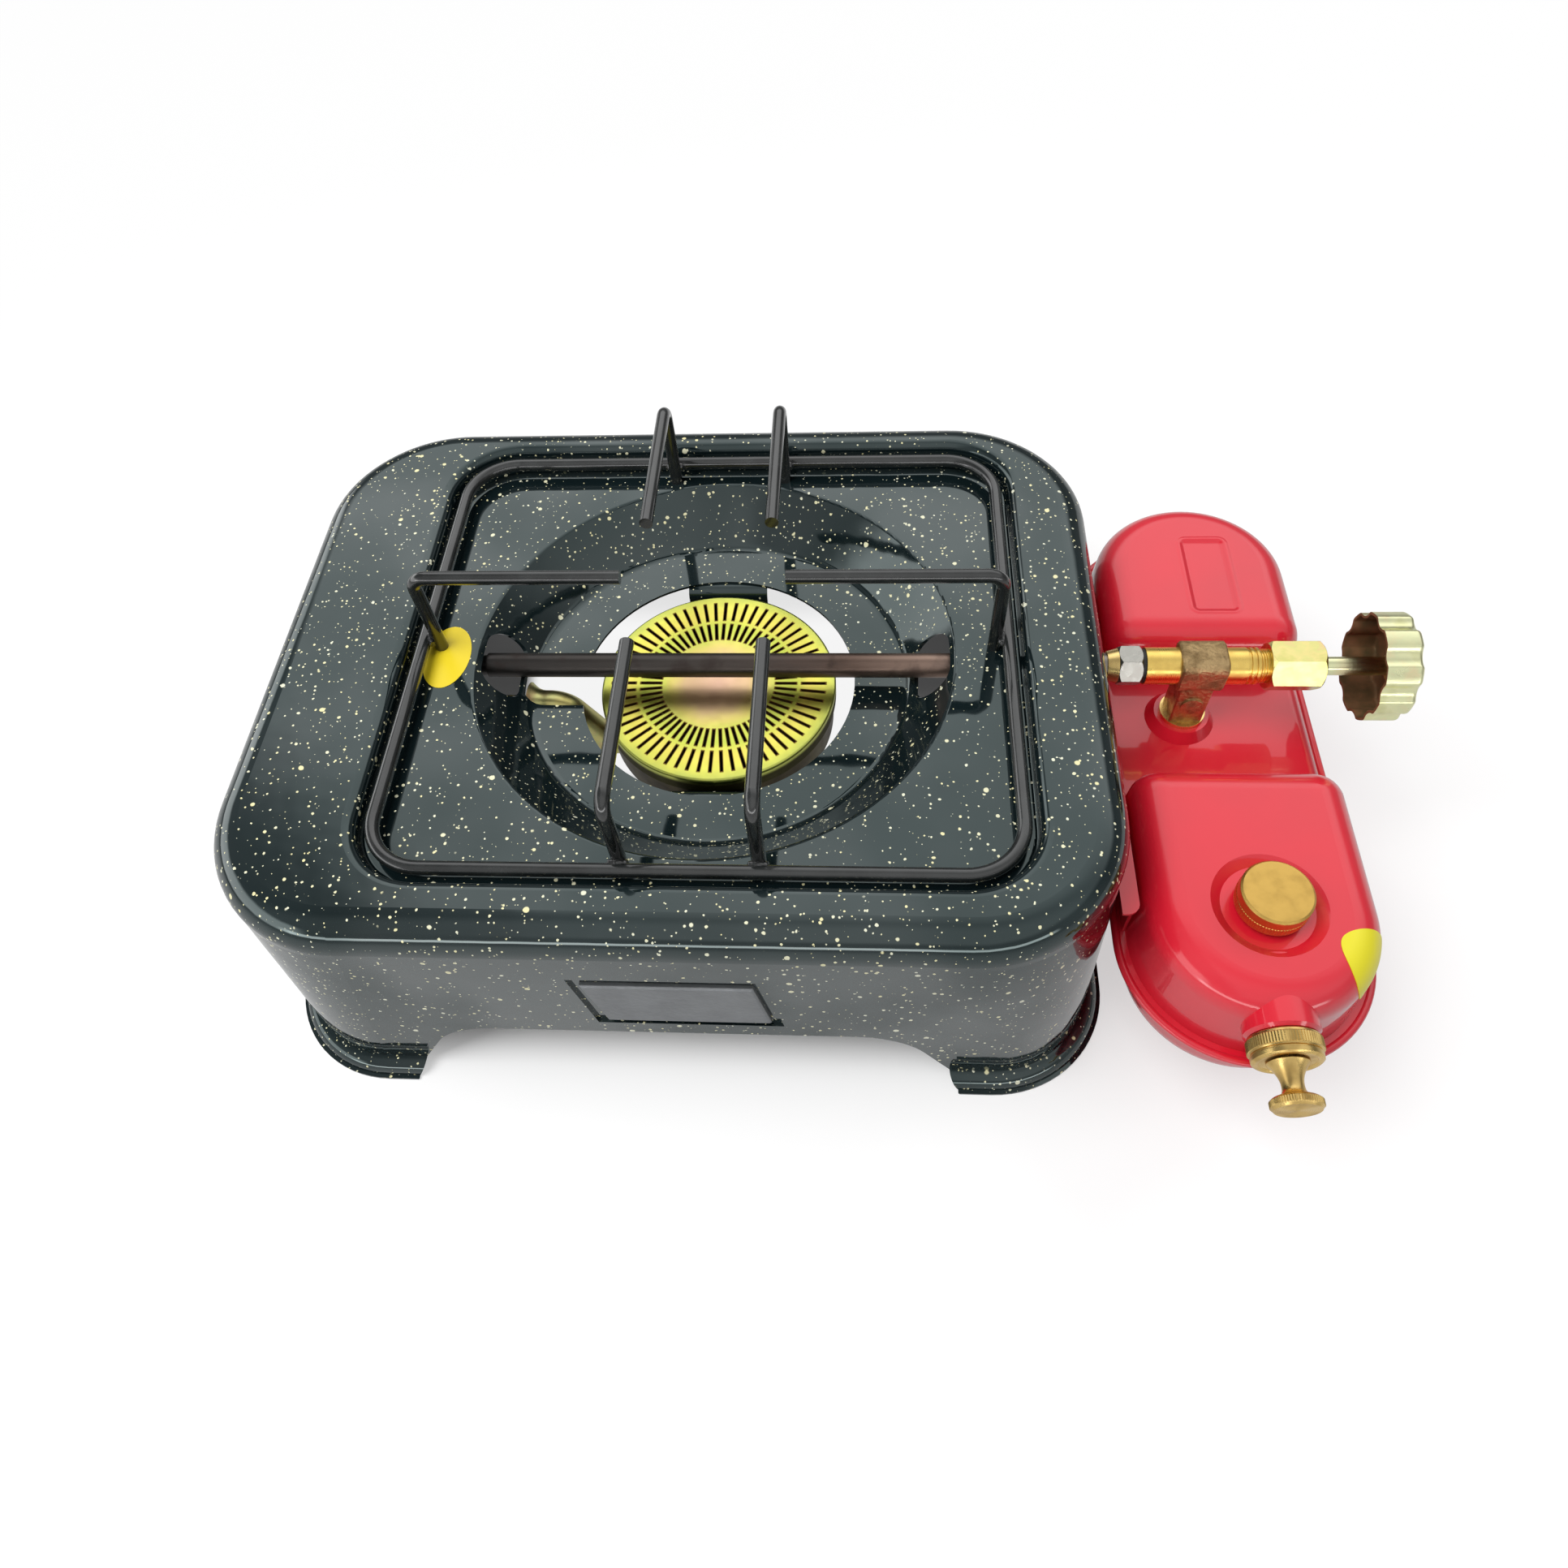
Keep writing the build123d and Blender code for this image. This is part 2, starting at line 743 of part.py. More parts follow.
def make_return_bend():
    """Half-circle bend from the generator down to the jet."""
    drop = line_height - mixer_height
    face = valve_line(-generator_left) * (Circle(bend_tube) - Circle(bend_bore))
    middle = (-generator_left, 0, line_height - drop / 2)
    return revolve(face, Axis(middle, (0, -1, 0)), 180)


def make_jet():
    """Six-sided jet with a cone tip and a fine hole."""
    body = hexagon(jet_af, jet_body)
    end = jet_body + jet_tip
    tip = turned([(0, jet_body), (jet_tip_base, jet_body), (jet_tip_radius, end), (0, end)])
    hole = Pos(0, 0, jet_body) * Cylinder(jet_bore, 2 * (jet_body + overrun))
    return mixer_line(-generator_left) * (body + tip - hole)


# Valve line


def make_cone():
    bore = generator_radius + running_gap
    cone = turned([
        (bore, 0), (cone_small, 0), (cone_large, cone_length), (bore, cone_length),
    ])
    return valve_line(cone_x) * cone


def make_coupling_nut():
    bore = Pos(0, 0, nut_length / 2) * Cylinder(generator_radius + running_gap, nut_length + 2 * overrun)
    return valve_line(nut_x) * (hexagon(nut_af, nut_length) - bore)


def make_washer():
    return valve_line(washer_x) * sleeve(washer_radius, line_bore, washer_length)


def make_inner_sleeve():
    return valve_line(inner_sleeve_x) * sleeve(sleeve_radius, line_bore, inner_sleeve)


def bung_top():
    return saddle_floor + bung_socket_rise + bung_rise


def make_block():
    """Cast tee: a rounded block on the valve line and a square leg down to the tank."""
    body = Box(block_length, block_width, block_width)
    body = fillet(body.edges().filter_by(Axis.X), block_round)
    body = chamfer(body.faces().sort_by(Axis.X)[0].edges(), plate_edge)
    body = chamfer(body.faces().sort_by(Axis.X)[-1].edges(), plate_edge)
    leg_low = bung_top() - line_height
    leg = Pos(0, 0, leg_low / 2) * Box(leg_width, leg_width, -leg_low)
    leg = fillet(leg.edges().filter_by(Axis.Z), plate_edge)
    plug_height = leg_low * leg_plug_share
    plug_place = Pos(0, -leg_width / 2, plug_height) * Rot(90, 0, 0)
    plug = plug_place * Cylinder(leg_plug_radius, 2 * leg_plug_rise)
    cast = body + leg + plug
    across = Rot(0, 90, 0) * Cylinder(line_bore, block_length + 2 * overrun)
    down = Pos(0, 0, leg_low / 2) * Cylinder(pickup_radius + running_gap, -leg_low)
    return Pos(block_middle, 0, line_height) * (cast - across - down)


def make_outer_sleeve():
    """Sleeve with a shouldered, grooved end that screws into the packing nut."""
    groove_root = sleeve_radius - sleeve_groove
    points = [(line_bore, 0), (sleeve_radius, 0)]
    for groove in range(sleeve_grooves):
        low = outer_sleeve - (sleeve_grooves - groove) * sleeve_pitch
        high = low + sleeve_pitch / 2
        points += [
            (sleeve_radius, low), (groove_root, low), (groove_root, high), (sleeve_radius, high),
        ]
    points += [
        (sleeve_radius, outer_sleeve), (thread_radius, outer_sleeve),
        (thread_radius, outer_sleeve + thread_length), (line_bore, outer_sleeve + thread_length),
    ]
    return valve_line(outer_sleeve_x) * turned(points)


def make_packing_nut():
    nut = hexagon(packing_nut_af, packing_nut_length)
    chamber = packing_x - packing_nut_x + packing_length
    thread_hole = Pos(0, 0, chamber / 2) * Cylinder(thread_radius + running_gap, chamber)
    through = packing_nut_length + 2 * overrun
    stem_hole = Pos(0, 0, packing_nut_length / 2) * Cylinder(stem_radius + running_gap, through)
    return valve_line(packing_nut_x) * (nut - thread_hole - stem_hole)


def make_packing():
    return valve_line(packing_x) * sleeve(thread_radius, stem_radius + running_gap, packing_length)


def make_stem():
    """Needle stem: a cone tip in the block, a plain rod and a thinner end for the wheel."""
    start = block_middle
    hub = wheel_face - wheel_wall - wheel_hub_length
    stem = turned([
        (0, 0), (stem_tip / 4, stem_tip / 2), (stem_radius, stem_tip), (stem_radius, hub - start),
        (stem_end_radius, hub - start), (stem_end_radius, wheel_face - start), (0, wheel_face - start),
    ])
    return valve_line(start) * stem


def wheel_outline():
    """Round outline with flutes between the lobes, all corners rounded."""
    disc = Sketch() + Circle(wheel_radius)
    reach = wheel_radius + flute_radius - flute_inset
    disc -= PolarLocations(reach, wheel_lobes) * Circle(flute_radius)
    return fillet(disc.vertices(), flute_round)


def make_handwheel():
    """Pressed cup with scalloped side wall, open towards the stove, with a hub inside."""
    outline = wheel_outline()
    cup = extrude(outline, wheel_length)
    cup = fillet(level_edges(cup, wheel_length), wheel_edge)
    inner = offset(outline, -wheel_wall)
    hollow = extrude(Pos(0, 0, -overrun) * inner, wheel_length - wheel_wall + overrun)
    hollow = fillet(level_edges(hollow, wheel_length - wheel_wall), wheel_edge - wheel_wall)
    hub_middle = wheel_length - wheel_wall - wheel_hub_length / 2
    hub = Pos(0, 0, hub_middle) * Cylinder(wheel_hub_radius, wheel_hub_length)
    hole = Pos(0, 0, wheel_length) * Cylinder(stem_end_radius + running_gap, 2 * wheel_length)
    return valve_line(wheel_x) * (cup - hollow + hub - hole)


def make_wheel_screw():
    head = turned([
        (0, 0), (wheel_screw_radius, 0), (wheel_screw_radius, wheel_screw_length / 2),
        (wheel_screw_radius - wheel_screw_length / 2, wheel_screw_length), (0, wheel_screw_length),
    ])
    return valve_line(wheel_face) * head


# Tank


def tank_plan(radius, front_cut=None, rear_cut=None):
    """Long rounded plan of the tank; a cut end is squared off with rounded corners."""
    length = tank_front_centre + tank_rear_centre
    middle = (tank_rear_centre - tank_front_centre) / 2
    plan = Pos(tank_x, middle) * SlotCenterToCenter(length, 2 * radius, rotation=90)
    reach = length + 2 * radius
    if rear_cut is not None:
        plan = plan & Pos(tank_x, rear_cut - reach / 2) * Rectangle(reach, reach)
        corners = plan.vertices().group_by(Axis.Y)[-1]
        plan = fillet(corners, dome_corner)
    if front_cut is not None:
        plan = plan & Pos(tank_x, front_cut + reach / 2) * Rectangle(reach, reach)
        corners = plan.vertices().group_by(Axis.Y)[0]
        plan = fillet(corners, dome_corner)
    return plan


def tank_form(inset):
    """Solid form of the upper shell: a low saddle with a dome in front and one behind."""
    radius = shell_radius - inset
    base = seam_height
    draft = shell_draft

    def lump(plan, rise, rounding):
        lump_solid = extrude(Pos(0, 0, base) * plan, rise, taper=draft)
        return fillet(level_edges(lump_solid, base + rise), rounding)

    low = lump(tank_plan(radius), saddle_rise - inset, saddle_round - inset)
    rear = lump(tank_plan(radius, front_cut=saddle_rear + inset), upper_rise - inset, dome_round - inset)
    front = lump(tank_plan(radius, rear_cut=-saddle_front - inset), upper_rise - inset, dome_round - inset)
    return low + rear + front


def bung_socket(inset):
    """Raised round socket in the saddle for the valve."""
    top = saddle_floor + bung_socket_rise - inset
    return Pos(block_middle, 0, 0) * turned([
        (0, seam_height + saddle_rise / 2), (bung_socket_radius - inset, seam_height + saddle_rise / 2),
        (bung_socket_radius - inset, saddle_floor), (bung_socket_top - inset, top), (0, top),
    ])


def filler_dish(inset):
    """Round dish pressed into the front dome around the filler neck."""
    low = dome_top - dish_depth - inset
    spread = inset / 2
    return Pos(tank_x, -tank_front_centre, 0) * turned([
        (0, low), (dish_floor_radius + spread, low), (dish_radius + spread, dome_top + spread),
        (dish_radius + spread, dome_top + overrun), (0, dome_top + overrun),
    ])


def plaque(grow):
    """Plain sunk panel in the top of the rear dome."""
    width = plaque_width + 2 * grow
    length = plaque_length + 2 * grow
    plan = RectangleRounded(width, length, plaque_corner + grow)
    low = dome_top - plaque_depth - grow
    place = Pos(tank_x + plaque_from_middle, plaque_from_burner, low)
    return extrude(place * plan, plaque_depth + grow + overrun)


def pump_socket():
    """Round collar raised on the front of the tank for the pump."""
    root = dome_corner + dome_round
    return pump_line(pump_face - root) * turned([
        (0, 0), (socket_radius, 0), (socket_radius, root - socket_end),
        (socket_radius - socket_end, root), (0, root),
    ])


def make_upper_shell():
    outer = tank_form(0) - filler_dish(0) - plaque(0) + bung_socket(0) + pump_socket()
    inner = tank_form(tank_sheet) - filler_dish(tank_sheet) - plaque(tank_sheet) + bung_socket(tank_sheet)
    shell = outer - inner
    shell = shell + extrude(Pos(0, 0, seam_height) * flange_plan(), tank_sheet)
    pump_hole = pump_line(pump_face) * Cylinder(cylinder_radius + running_gap, 4 * dome_corner)
    neck_place = Pos(tank_x, -tank_front_centre, dome_top)
    neck_hole = neck_place * Cylinder(neck_radius + running_gap, 4 * dish_depth)
    bung_place = Pos(block_middle, 0, saddle_floor + bung_socket_rise)
    bung_hole = bung_place * Cylinder(bung_radius + running_gap, 4 * bung_socket_rise)
    return shell - pump_hole - neck_hole - bung_hole


def flange_plan():
    """Flat rim on which the two shells meet."""
    return tank_plan(seam_radius - bead_radius) - tank_plan(shell_radius - tank_sheet)


def make_lower_shell():
    """Lower shell with the seam's rolled bead, which wraps the upper shell's flange."""
    depth = lower_drop
    outer = extrude(Pos(0, 0, seam_height) * tank_plan(shell_radius), -depth, taper=shell_draft)
    outer = fillet(level_edges(outer, seam_height - depth), belly_round)
    inner_depth = depth - tank_sheet
    inner_plan = Pos(0, 0, seam_height) * tank_plan(shell_radius - tank_sheet)
    inner = extrude(inner_plan, -inner_depth, taper=shell_draft)
    inner = fillet(level_edges(inner, seam_height - inner_depth), belly_round - tank_sheet)
    flange = extrude(Pos(0, 0, seam_height) * flange_plan(), -tank_sheet)
    # The bead stands on both sides of the seam plane and touches the upper flange's edge
    bead_path_radius = seam_radius - bead_radius
    bead_plan = tank_plan(bead_path_radius).wire()
    start = Plane(origin=bead_plan @ 0, z_dir=bead_plan % 0)
    bead = sweep(start * Circle(bead_radius), bead_plan)
    bead = Pos(0, 0, seam_height) * bead
    upper_flange = extrude(Pos(0, 0, seam_height) * tank_plan(bead_path_radius), tank_sheet)
    return outer - inner + flange + (bead - upper_flange)


def make_bung():
    """Brass bung that seals the valve's leg in the tank."""
    socket_top = saddle_floor + bung_socket_rise
    top = socket_top + bung_rise
    wide = bung_radius + bung_rise / 2
    low = socket_top - bung_depth
    return Pos(block_middle, 0, 0) * turned([
        (bung_bore, low), (bung_radius, low), (bung_radius, socket_top),
        (wide, socket_top), (wide, top), (bung_bore, top),
    ])


def make_pickup():
    """Pickup tube from the valve down to just above the bottom of the tank."""
    top = bung_top() + leg_width / 2
    low = seam_height - lower_drop + tank_sheet + pickup_clearance
    return Pos(block_middle, 0, low) * sleeve(pickup_radius, pickup_bore, top - low)


def make_neck():
    """Filler neck: a short threaded collar brazed into the dish."""
    floor_height = dome_top - dish_depth
    top = floor_height + neck_rise
    low = floor_height - tank_sheet - push_gap
    outline = [
        (neck_bore, low), (neck_radius, low), (neck_radius, top), (neck_bore, top),
    ]
    return Pos(tank_x, -tank_front_centre, 0) * turned(outline)


def neck_top():
    return dome_top - dish_depth + neck_rise


def make_gasket():
    outer = neck_radius - push_gap
    return Pos(tank_x, -tank_front_centre, neck_top()) * sleeve(outer, neck_bore, gasket_thickness)


def make_filler_cap():
    """Screw cap over the neck, with a crown that presses the gasket."""
    crown_low = neck_top() + gasket_thickness
    top = crown_low + filler_cap_crown
    low = top - filler_cap_height
    bore = neck_radius + running_gap
    cap = turned([
        (0, crown_low), (bore, crown_low), (bore, low), (filler_cap_radius, low),
        (filler_cap_radius, top), (0, top),
    ])
    cap = chamfer(level_edges(cap, top), plate_edge)
    return Pos(tank_x, -tank_front_centre, 0) * cap


# Pump


def make_cylinder():
    """Pump cylinder with a closed inner end that carries the check valve."""
    start = pump_face
    length = cylinder_length
    tube = turned([
        (cylinder_bore, 0), (cylinder_radius, 0), (cylinder_radius, length),
        (check_valve_radius / 2, length), (check_valve_radius / 2, length - 2 * tank_sheet),
        (cylinder_bore, length - 2 * tank_sheet),
    ])
    inward = Plane((tank_x, -start, pump_height), x_dir=(1, 0, 0), z_dir=(0, 1, 0))
    return inward * tube


def make_check_valve():
    """Check valve pressed on the inner end of the pump cylinder."""
    half = check_valve_radius / 2
    plug = half - running_gap
    end = pump_face - cylinder_length
    inward = Plane((tank_x, -end, pump_height), x_dir=(1, 0, 0), z_dir=(0, 1, 0))
    return inward * turned([
        (0, -tank_sheet), (plug, -tank_sheet), (plug, 0), (check_valve_radius, 0),
        (check_valve_radius, check_valve_length / 2), (half, check_valve_length), (0, check_valve_length),
    ])


def make_pump_cap():
    """Cap screwed over the pump socket's mouth, with a hole that guides the rod."""
    rod_hole = plunger_rod + running_gap
    cap = turned([
        (rod_hole, 0), (pump_cap_radius, 0), (pump_cap_radius, pump_cap_length),
        (rod_hole, pump_cap_length),
    ])
    rim = [e for e in level_edges(cap, pump_cap_length) if e.radius > pump_cap_radius / 2]
    cap = chamfer(rim, plate_edge)
    return pump_line(pump_face) * cap


def make_plunger_rod():
    length = plunger_end + pump_cap_length + knob_neck / 2
    rod = Pos(0, 0, length / 2) * Cylinder(plunger_rod, length)
    return pump_line(pump_face - plunger_end) * rod


def make_piston():
    """Leather cup: its lip points at the inner end of the cylinder."""
    wall = piston_length / 4
    cup_radius = cylinder_bore - running_gap
    hole = plunger_rod + running_gap
    cup = turned([
        (hole, piston_length - wall), (cup_radius - wall, piston_length - wall), (cup_radius - wall, 0),
        (cup_radius, 0), (cup_radius, piston_length), (hole, piston_length),
    ])
    return pump_line(pump_face - piston_end) * cup


def make_plunger_nut():
    """Nut and washer stack that clamps the leather cup on the rod's inner end."""
    wall = piston_length / 4
    length = plunger_nut_length + piston_length - wall
    outline = hexagon(plunger_nut_af + plunger_rod, length)
    hole = Pos(0, 0, length / 2) * Cylinder(plunger_rod + running_gap, length + 2 * overrun)
    return pump_line(pump_face - plunger_end) * (outline - hole)


def make_pump_knob():
    """Turned knob: a flared foot against the cap, a waist and a round head."""
    flare_end = knob_neck * knob_waist_share
    hole = plunger_rod + running_gap
    outline = make_face(
        Line((hole, 0), (knob_flare_radius, 0))
        + Spline((knob_flare_radius, 0), (knob_waist, flare_end), tangents=((-1, 1), (0, 1)))
        + Spline((knob_waist, flare_end), (knob_waist + knob_edge, knob_neck), tangents=((0, 1), (1, 1)))
        + Line((knob_waist + knob_edge, knob_neck), (knob_radius, knob_neck + knob_edge))
        + Line((knob_radius, knob_neck + knob_edge), (knob_radius, knob_neck + knob_length - knob_edge))
        + Line(
            (knob_radius, knob_neck + knob_length - knob_edge),
            (knob_radius - knob_edge, knob_neck + knob_length),
        )
        + Line((knob_radius - knob_edge, knob_neck + knob_length), (0, knob_neck + knob_length))
        + Line((0, knob_neck + knob_length), (0, knob_neck / 2))
        + Line((0, knob_neck / 2), (hole, knob_neck / 2))
        + Line((hole, knob_neck / 2), (hole, 0))
    )
    return pump_line(pump_cap_face) * revolve(Plane.XZ * outline, Axis.Z)


def make_bracket():
    """Bent plate on the tank's seam: a web, a shelf towards the wall and two hooks inside it."""
    length = bracket_front + bracket_rear
    middle = (bracket_rear - bracket_front) / 2
    low = seam_height + tank_sheet
    shelf_low = bracket_height - bracket_sheet
    web_width = length - 2 * bracket_round
    web = Pos(bracket_face - bracket_sheet / 2, middle, (low + shelf_low) / 2) * Box(
        bracket_sheet, web_width, shelf_low - low
    )
    # The shelf is a strip with its two outer corners rounded
    shelf_width = bracket_face - right_wall - push_gap
    strip = Pos(bracket_face - shelf_width / 2, middle) * Rectangle(shelf_width, length)
    strip = fillet(strip.vertices().group_by(Axis.X)[-1], bracket_round - bracket_sheet)
    plate = web + extrude(Pos(0, 0, shelf_low) * strip, bracket_sheet)
    hook_x = right_wall - sheet - hook_reach
    tongue = bracket_face - bracket_round - hook_x
    for y in hook_places():
        reach = Pos(hook_x + tongue / 2, y, bracket_height - bracket_sheet / 2)
        drop = Pos(hook_x + bracket_sheet / 2, y, bracket_height - hook_drop / 2)
        plate += reach * Box(tongue, hook_width, bracket_sheet)
        plate += drop * Box(bracket_sheet, hook_width, hook_drop)
    return plate


pieces = {
    "body_shell": make_body,
    "name_plate": make_name_plate,
    "name_plate_pins": make_plate_pins,
    "grate_ring": make_ring,
    "burner_cap": make_cap,
    "burner_pan": make_pan,
    "mixing_tube": make_mixer,
    "burner_bridge": make_bridge,
    "burner_bolt": make_bolt,
    "generator_tube": make_generator,
    "generator_core": make_generator_core,
    "return_bend": make_return_bend,
    "jet_nozzle": make_jet,
    "coupling_cone": make_cone,
    "coupling_nut": make_coupling_nut,
    "coupling_washer": make_washer,
    "inner_valve_sleeve": make_inner_sleeve,
    "valve_block": make_block,
    "outer_valve_sleeve": make_outer_sleeve,
    "packing_nut": make_packing_nut,
    "stem_packing": make_packing,
    "valve_stem": make_stem,
    "handwheel": make_handwheel,
    "handwheel_screw": make_wheel_screw,
    "tank_upper_shell": make_upper_shell,
    "tank_lower_shell": make_lower_shell,
    "tank_bracket": make_bracket,
    "valve_bung": make_bung,
    "pickup_tube": make_pickup,
    "filler_neck": make_neck,
    "filler_gasket": make_gasket,
    "filler_cap": make_filler_cap,
    "pump_cylinder": make_cylinder,
    "check_valve": make_check_valve,
    "pump_cap": make_pump_cap,
    "plunger_rod": make_plunger_rod,
    "plunger_cup": make_piston,
    "plunger_nut": make_plunger_nut,
    "pump_knob": make_pump_knob,
}

for piece_name, make_piece in pieces.items():
    save(piece_name, make_piece())
for finger_name, finger in make_fingers().items():
    save(finger_name, finger)
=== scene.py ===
"""Finishes, fine detail, stage and camera for a single burner petrol stove."""

import bpy
import numpy as np
from bpy.props import FloatProperty, FloatVectorProperty, IntProperty, PointerProperty
from mathutils import Matrix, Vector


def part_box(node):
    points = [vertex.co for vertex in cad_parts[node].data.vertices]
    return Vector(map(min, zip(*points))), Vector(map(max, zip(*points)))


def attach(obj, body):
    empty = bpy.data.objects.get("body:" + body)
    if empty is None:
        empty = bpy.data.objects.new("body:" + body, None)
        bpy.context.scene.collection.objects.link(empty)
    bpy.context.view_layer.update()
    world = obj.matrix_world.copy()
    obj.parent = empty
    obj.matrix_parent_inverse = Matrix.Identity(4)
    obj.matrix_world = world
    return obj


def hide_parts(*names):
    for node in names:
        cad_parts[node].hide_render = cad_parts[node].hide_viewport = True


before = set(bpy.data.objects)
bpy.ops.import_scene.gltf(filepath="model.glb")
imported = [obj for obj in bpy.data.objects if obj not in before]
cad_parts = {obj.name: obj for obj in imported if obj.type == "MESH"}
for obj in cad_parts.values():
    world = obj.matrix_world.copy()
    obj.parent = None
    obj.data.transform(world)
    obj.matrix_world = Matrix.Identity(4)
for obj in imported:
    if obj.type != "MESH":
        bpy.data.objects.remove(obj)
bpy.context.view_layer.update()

bl_info = {
    "name": "Petrol stove finishes",
    "version": (1, 0, 0),
    "blender": (4, 5, 0),
    "location": "3D View > Sidebar > Stove",
    "description": "Enamel, plated, brass and painted finishes with turned detail for a petrol stove",
    "category": "Object",
}

MM = 0.001
TURN = 2 * np.pi
X_AXIS, Y_AXIS, Z_AXIS = 0, 1, 2

# Sockets of a Mix node that are used when it mixes colours
MIX_SHARE, MIX_FIRST, MIX_SECOND, MIX_COLOUR = 0, 6, 7, 2


def math_method(operation, swapped=False):
    """Method of a value that adds a Math node for it and another value or number."""

    def method(self, other):
        pair = (other, self) if swapped else (self, other)
        return self.nodes.maths(operation, *pair)

    return method


class Value:
    """A socket of a node tree. Sums and comparisons with it add Math nodes."""

    def __init__(self, nodes, socket):
        self.nodes = nodes
        self.socket = socket

    __add__ = __radd__ = math_method("ADD")
    __sub__ = math_method("SUBTRACT")
    __rsub__ = math_method("SUBTRACT", swapped=True)
    __mul__ = __rmul__ = math_method("MULTIPLY")
    __truediv__ = math_method("DIVIDE")
    __pow__ = math_method("POWER")
    __lt__ = math_method("LESS_THAN")
    __gt__ = math_method("GREATER_THAN")


class Nodes:
    """A node tree, and short ways to add nodes to it."""

    def __init__(self, tree):
        self.tree = tree
        tree.nodes.clear()

    def feed(self, socket, value):
        if isinstance(value, Value):
            self.tree.links.new(value.socket, socket)
        else:
            socket.default_value = value

    def node(self, kind, settings, inputs, output=0):
        """Adds a node: its settings first, then its sockets. A list of outputs gives a list."""
        made = self.tree.nodes.new(kind)
        for key, value in settings.items():
            if key == "stops":
                stops = made.color_ramp.elements
                while len(stops) < len(value):
                    stops.new(1.0)
                for stop, (position, colour) in zip(stops, value):
                    stop.position = position
                    stop.color = (*colour, 1.0)
            else:
                setattr(made, key, value)
        for key, value in inputs.items():
            self.feed(made.inputs[key], value)
        if isinstance(output, list):
            return [Value(self, made.outputs[which]) for which in output]
        return Value(self, made.outputs[output])

    def maths(self, operation, *values):
        return self.node("ShaderNodeMath", {"operation": operation}, dict(enumerate(values)))

    def vectors(self, operation, *values):
        return self.node("ShaderNodeVectorMath", {"operation": operation}, dict(enumerate(values)))

    def place(self, centre=(0, 0, 0), stretch=(1, 1, 1)):
        """Object coordinates about a centre, stretched."""
        spot = self.node("ShaderNodeTexCoord", {}, {}, "Object")
        inputs = {"Vector": spot, "Location": centre, "Scale": stretch}
        return self.node("ShaderNodeMapping", {"vector_type": "TEXTURE"}, inputs)

    def axes(self, spot):
        """The three parts of a vector."""
        return self.node("ShaderNodeSeparateXYZ", {}, {"Vector": spot}, [0, 1, 2])

    def noise(self, spot, size, detail=2.0, output=0):
        """Soft noise about 0.5 whose patches have a size, or three of them as output 1."""
        inputs = {"Vector": spot, "Scale": 1 / size, "Detail": detail}
        return self.node("ShaderNodeTexNoise", {}, inputs, output)

    def cells(self, spot, size):
        """Distance to the nearest scattered point, in cells, and three random numbers of its cell."""
        inputs = {"Vector": spot, "Scale": 1 / size}
        distance, colour = self.node("ShaderNodeTexVoronoi", {}, inputs, [0, 1])
        return distance, *self.node("ShaderNodeSeparateColor", {}, {"Color": colour}, [0, 1, 2])

    def ease(self, value, start, end):
        """0 at the start, 1 at the end and smooth between them."""
        settings = {"interpolation_type": "SMOOTHSTEP"}
        inputs = {"Value": value, "From Min": start, "From Max": end}
        return self.node("ShaderNodeMapRange", settings, inputs)

    def ramp(self, value, *stops):
        return self.node("ShaderNodeValToRGB", {"stops": stops}, {"Fac": value})

    def mix(self, share, first, second):
        """The first colour where the share is 0 and the second where it is 1."""
        first, second = (c if isinstance(c, Value) else (*c, 1.0) for c in (first, second))
        inputs = {MIX_SHARE: share, MIX_FIRST: first, MIX_SECOND: second}
        return self.node("ShaderNodeMix", {"data_type": "RGBA"}, inputs, MIX_COLOUR)

    def edge(self, size):
        """Normals rounded over sharp edges."""
        return self.node("ShaderNodeBevel", {"samples": 4}, {"Radius": size})

    def bump(self, height, depth, normal=None):
        inputs = {"Height": height, "Distance": depth}
        if normal is not None:
            inputs["Normal"] = normal
        return self.node("ShaderNodeBump", {}, inputs)


class Finish(Nodes):
    """A material with one shader."""

    def __init__(self, name):
        self.material = bpy.data.materials.new(name)
        self.material.use_nodes = True
        super().__init__(self.material.node_tree)
        self.shader = self.tree.nodes.new("ShaderNodeBsdfPrincipled")
        self.output = self.tree.nodes.new("ShaderNodeOutputMaterial")
        self.tree.links.new(self.shader.outputs["BSDF"], self.output.inputs["Surface"])

    def done(self, colour, roughness, metallic=0.0, coat=0.0, coat_roughness=0.05, normal=None):
        """Feeds the shader and gives back the material."""
        colour = colour if isinstance(colour, Value) else (*colour, 1.0)
        feeds = {"Base Color": colour, "Roughness": roughness, "Metallic": metallic, "Coat Weight": coat}
        for key, value in feeds.items():
            self.feed(self.shader.inputs[key], value)
        self.shader.inputs["Coat Roughness"].default_value = coat_roughness
        if normal is not None:
            self.feed(self.shader.inputs["Normal"], normal)
        return self.material


def middle(node):
    """Centre of a CAD node's box as an array."""
    low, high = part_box(node)
    return (np.array(low) + np.array(high)) / 2


def dress(material, *nodes):
    """Puts one finish on CAD nodes."""
    for node in nodes:
        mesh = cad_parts[node].data
        mesh.materials.clear()
        mesh.materials.append(material)


def grid_faces(rows, columns, close_rows, close_columns):
    """Quads between the neighbours of a grid of points, joined round where the grid closes."""
    row = np.arange(rows if close_rows else rows - 1)
    column = np.arange(columns if close_columns else columns - 1)
    a, b = np.meshgrid(row, column, indexing="ij")
    c, d = (a + 1) % rows, (b + 1) % columns
    quads = [a * columns + b, c * columns + b, c * columns + d, a * columns + d]
    return np.stack(quads, -1).reshape(-1, 4)


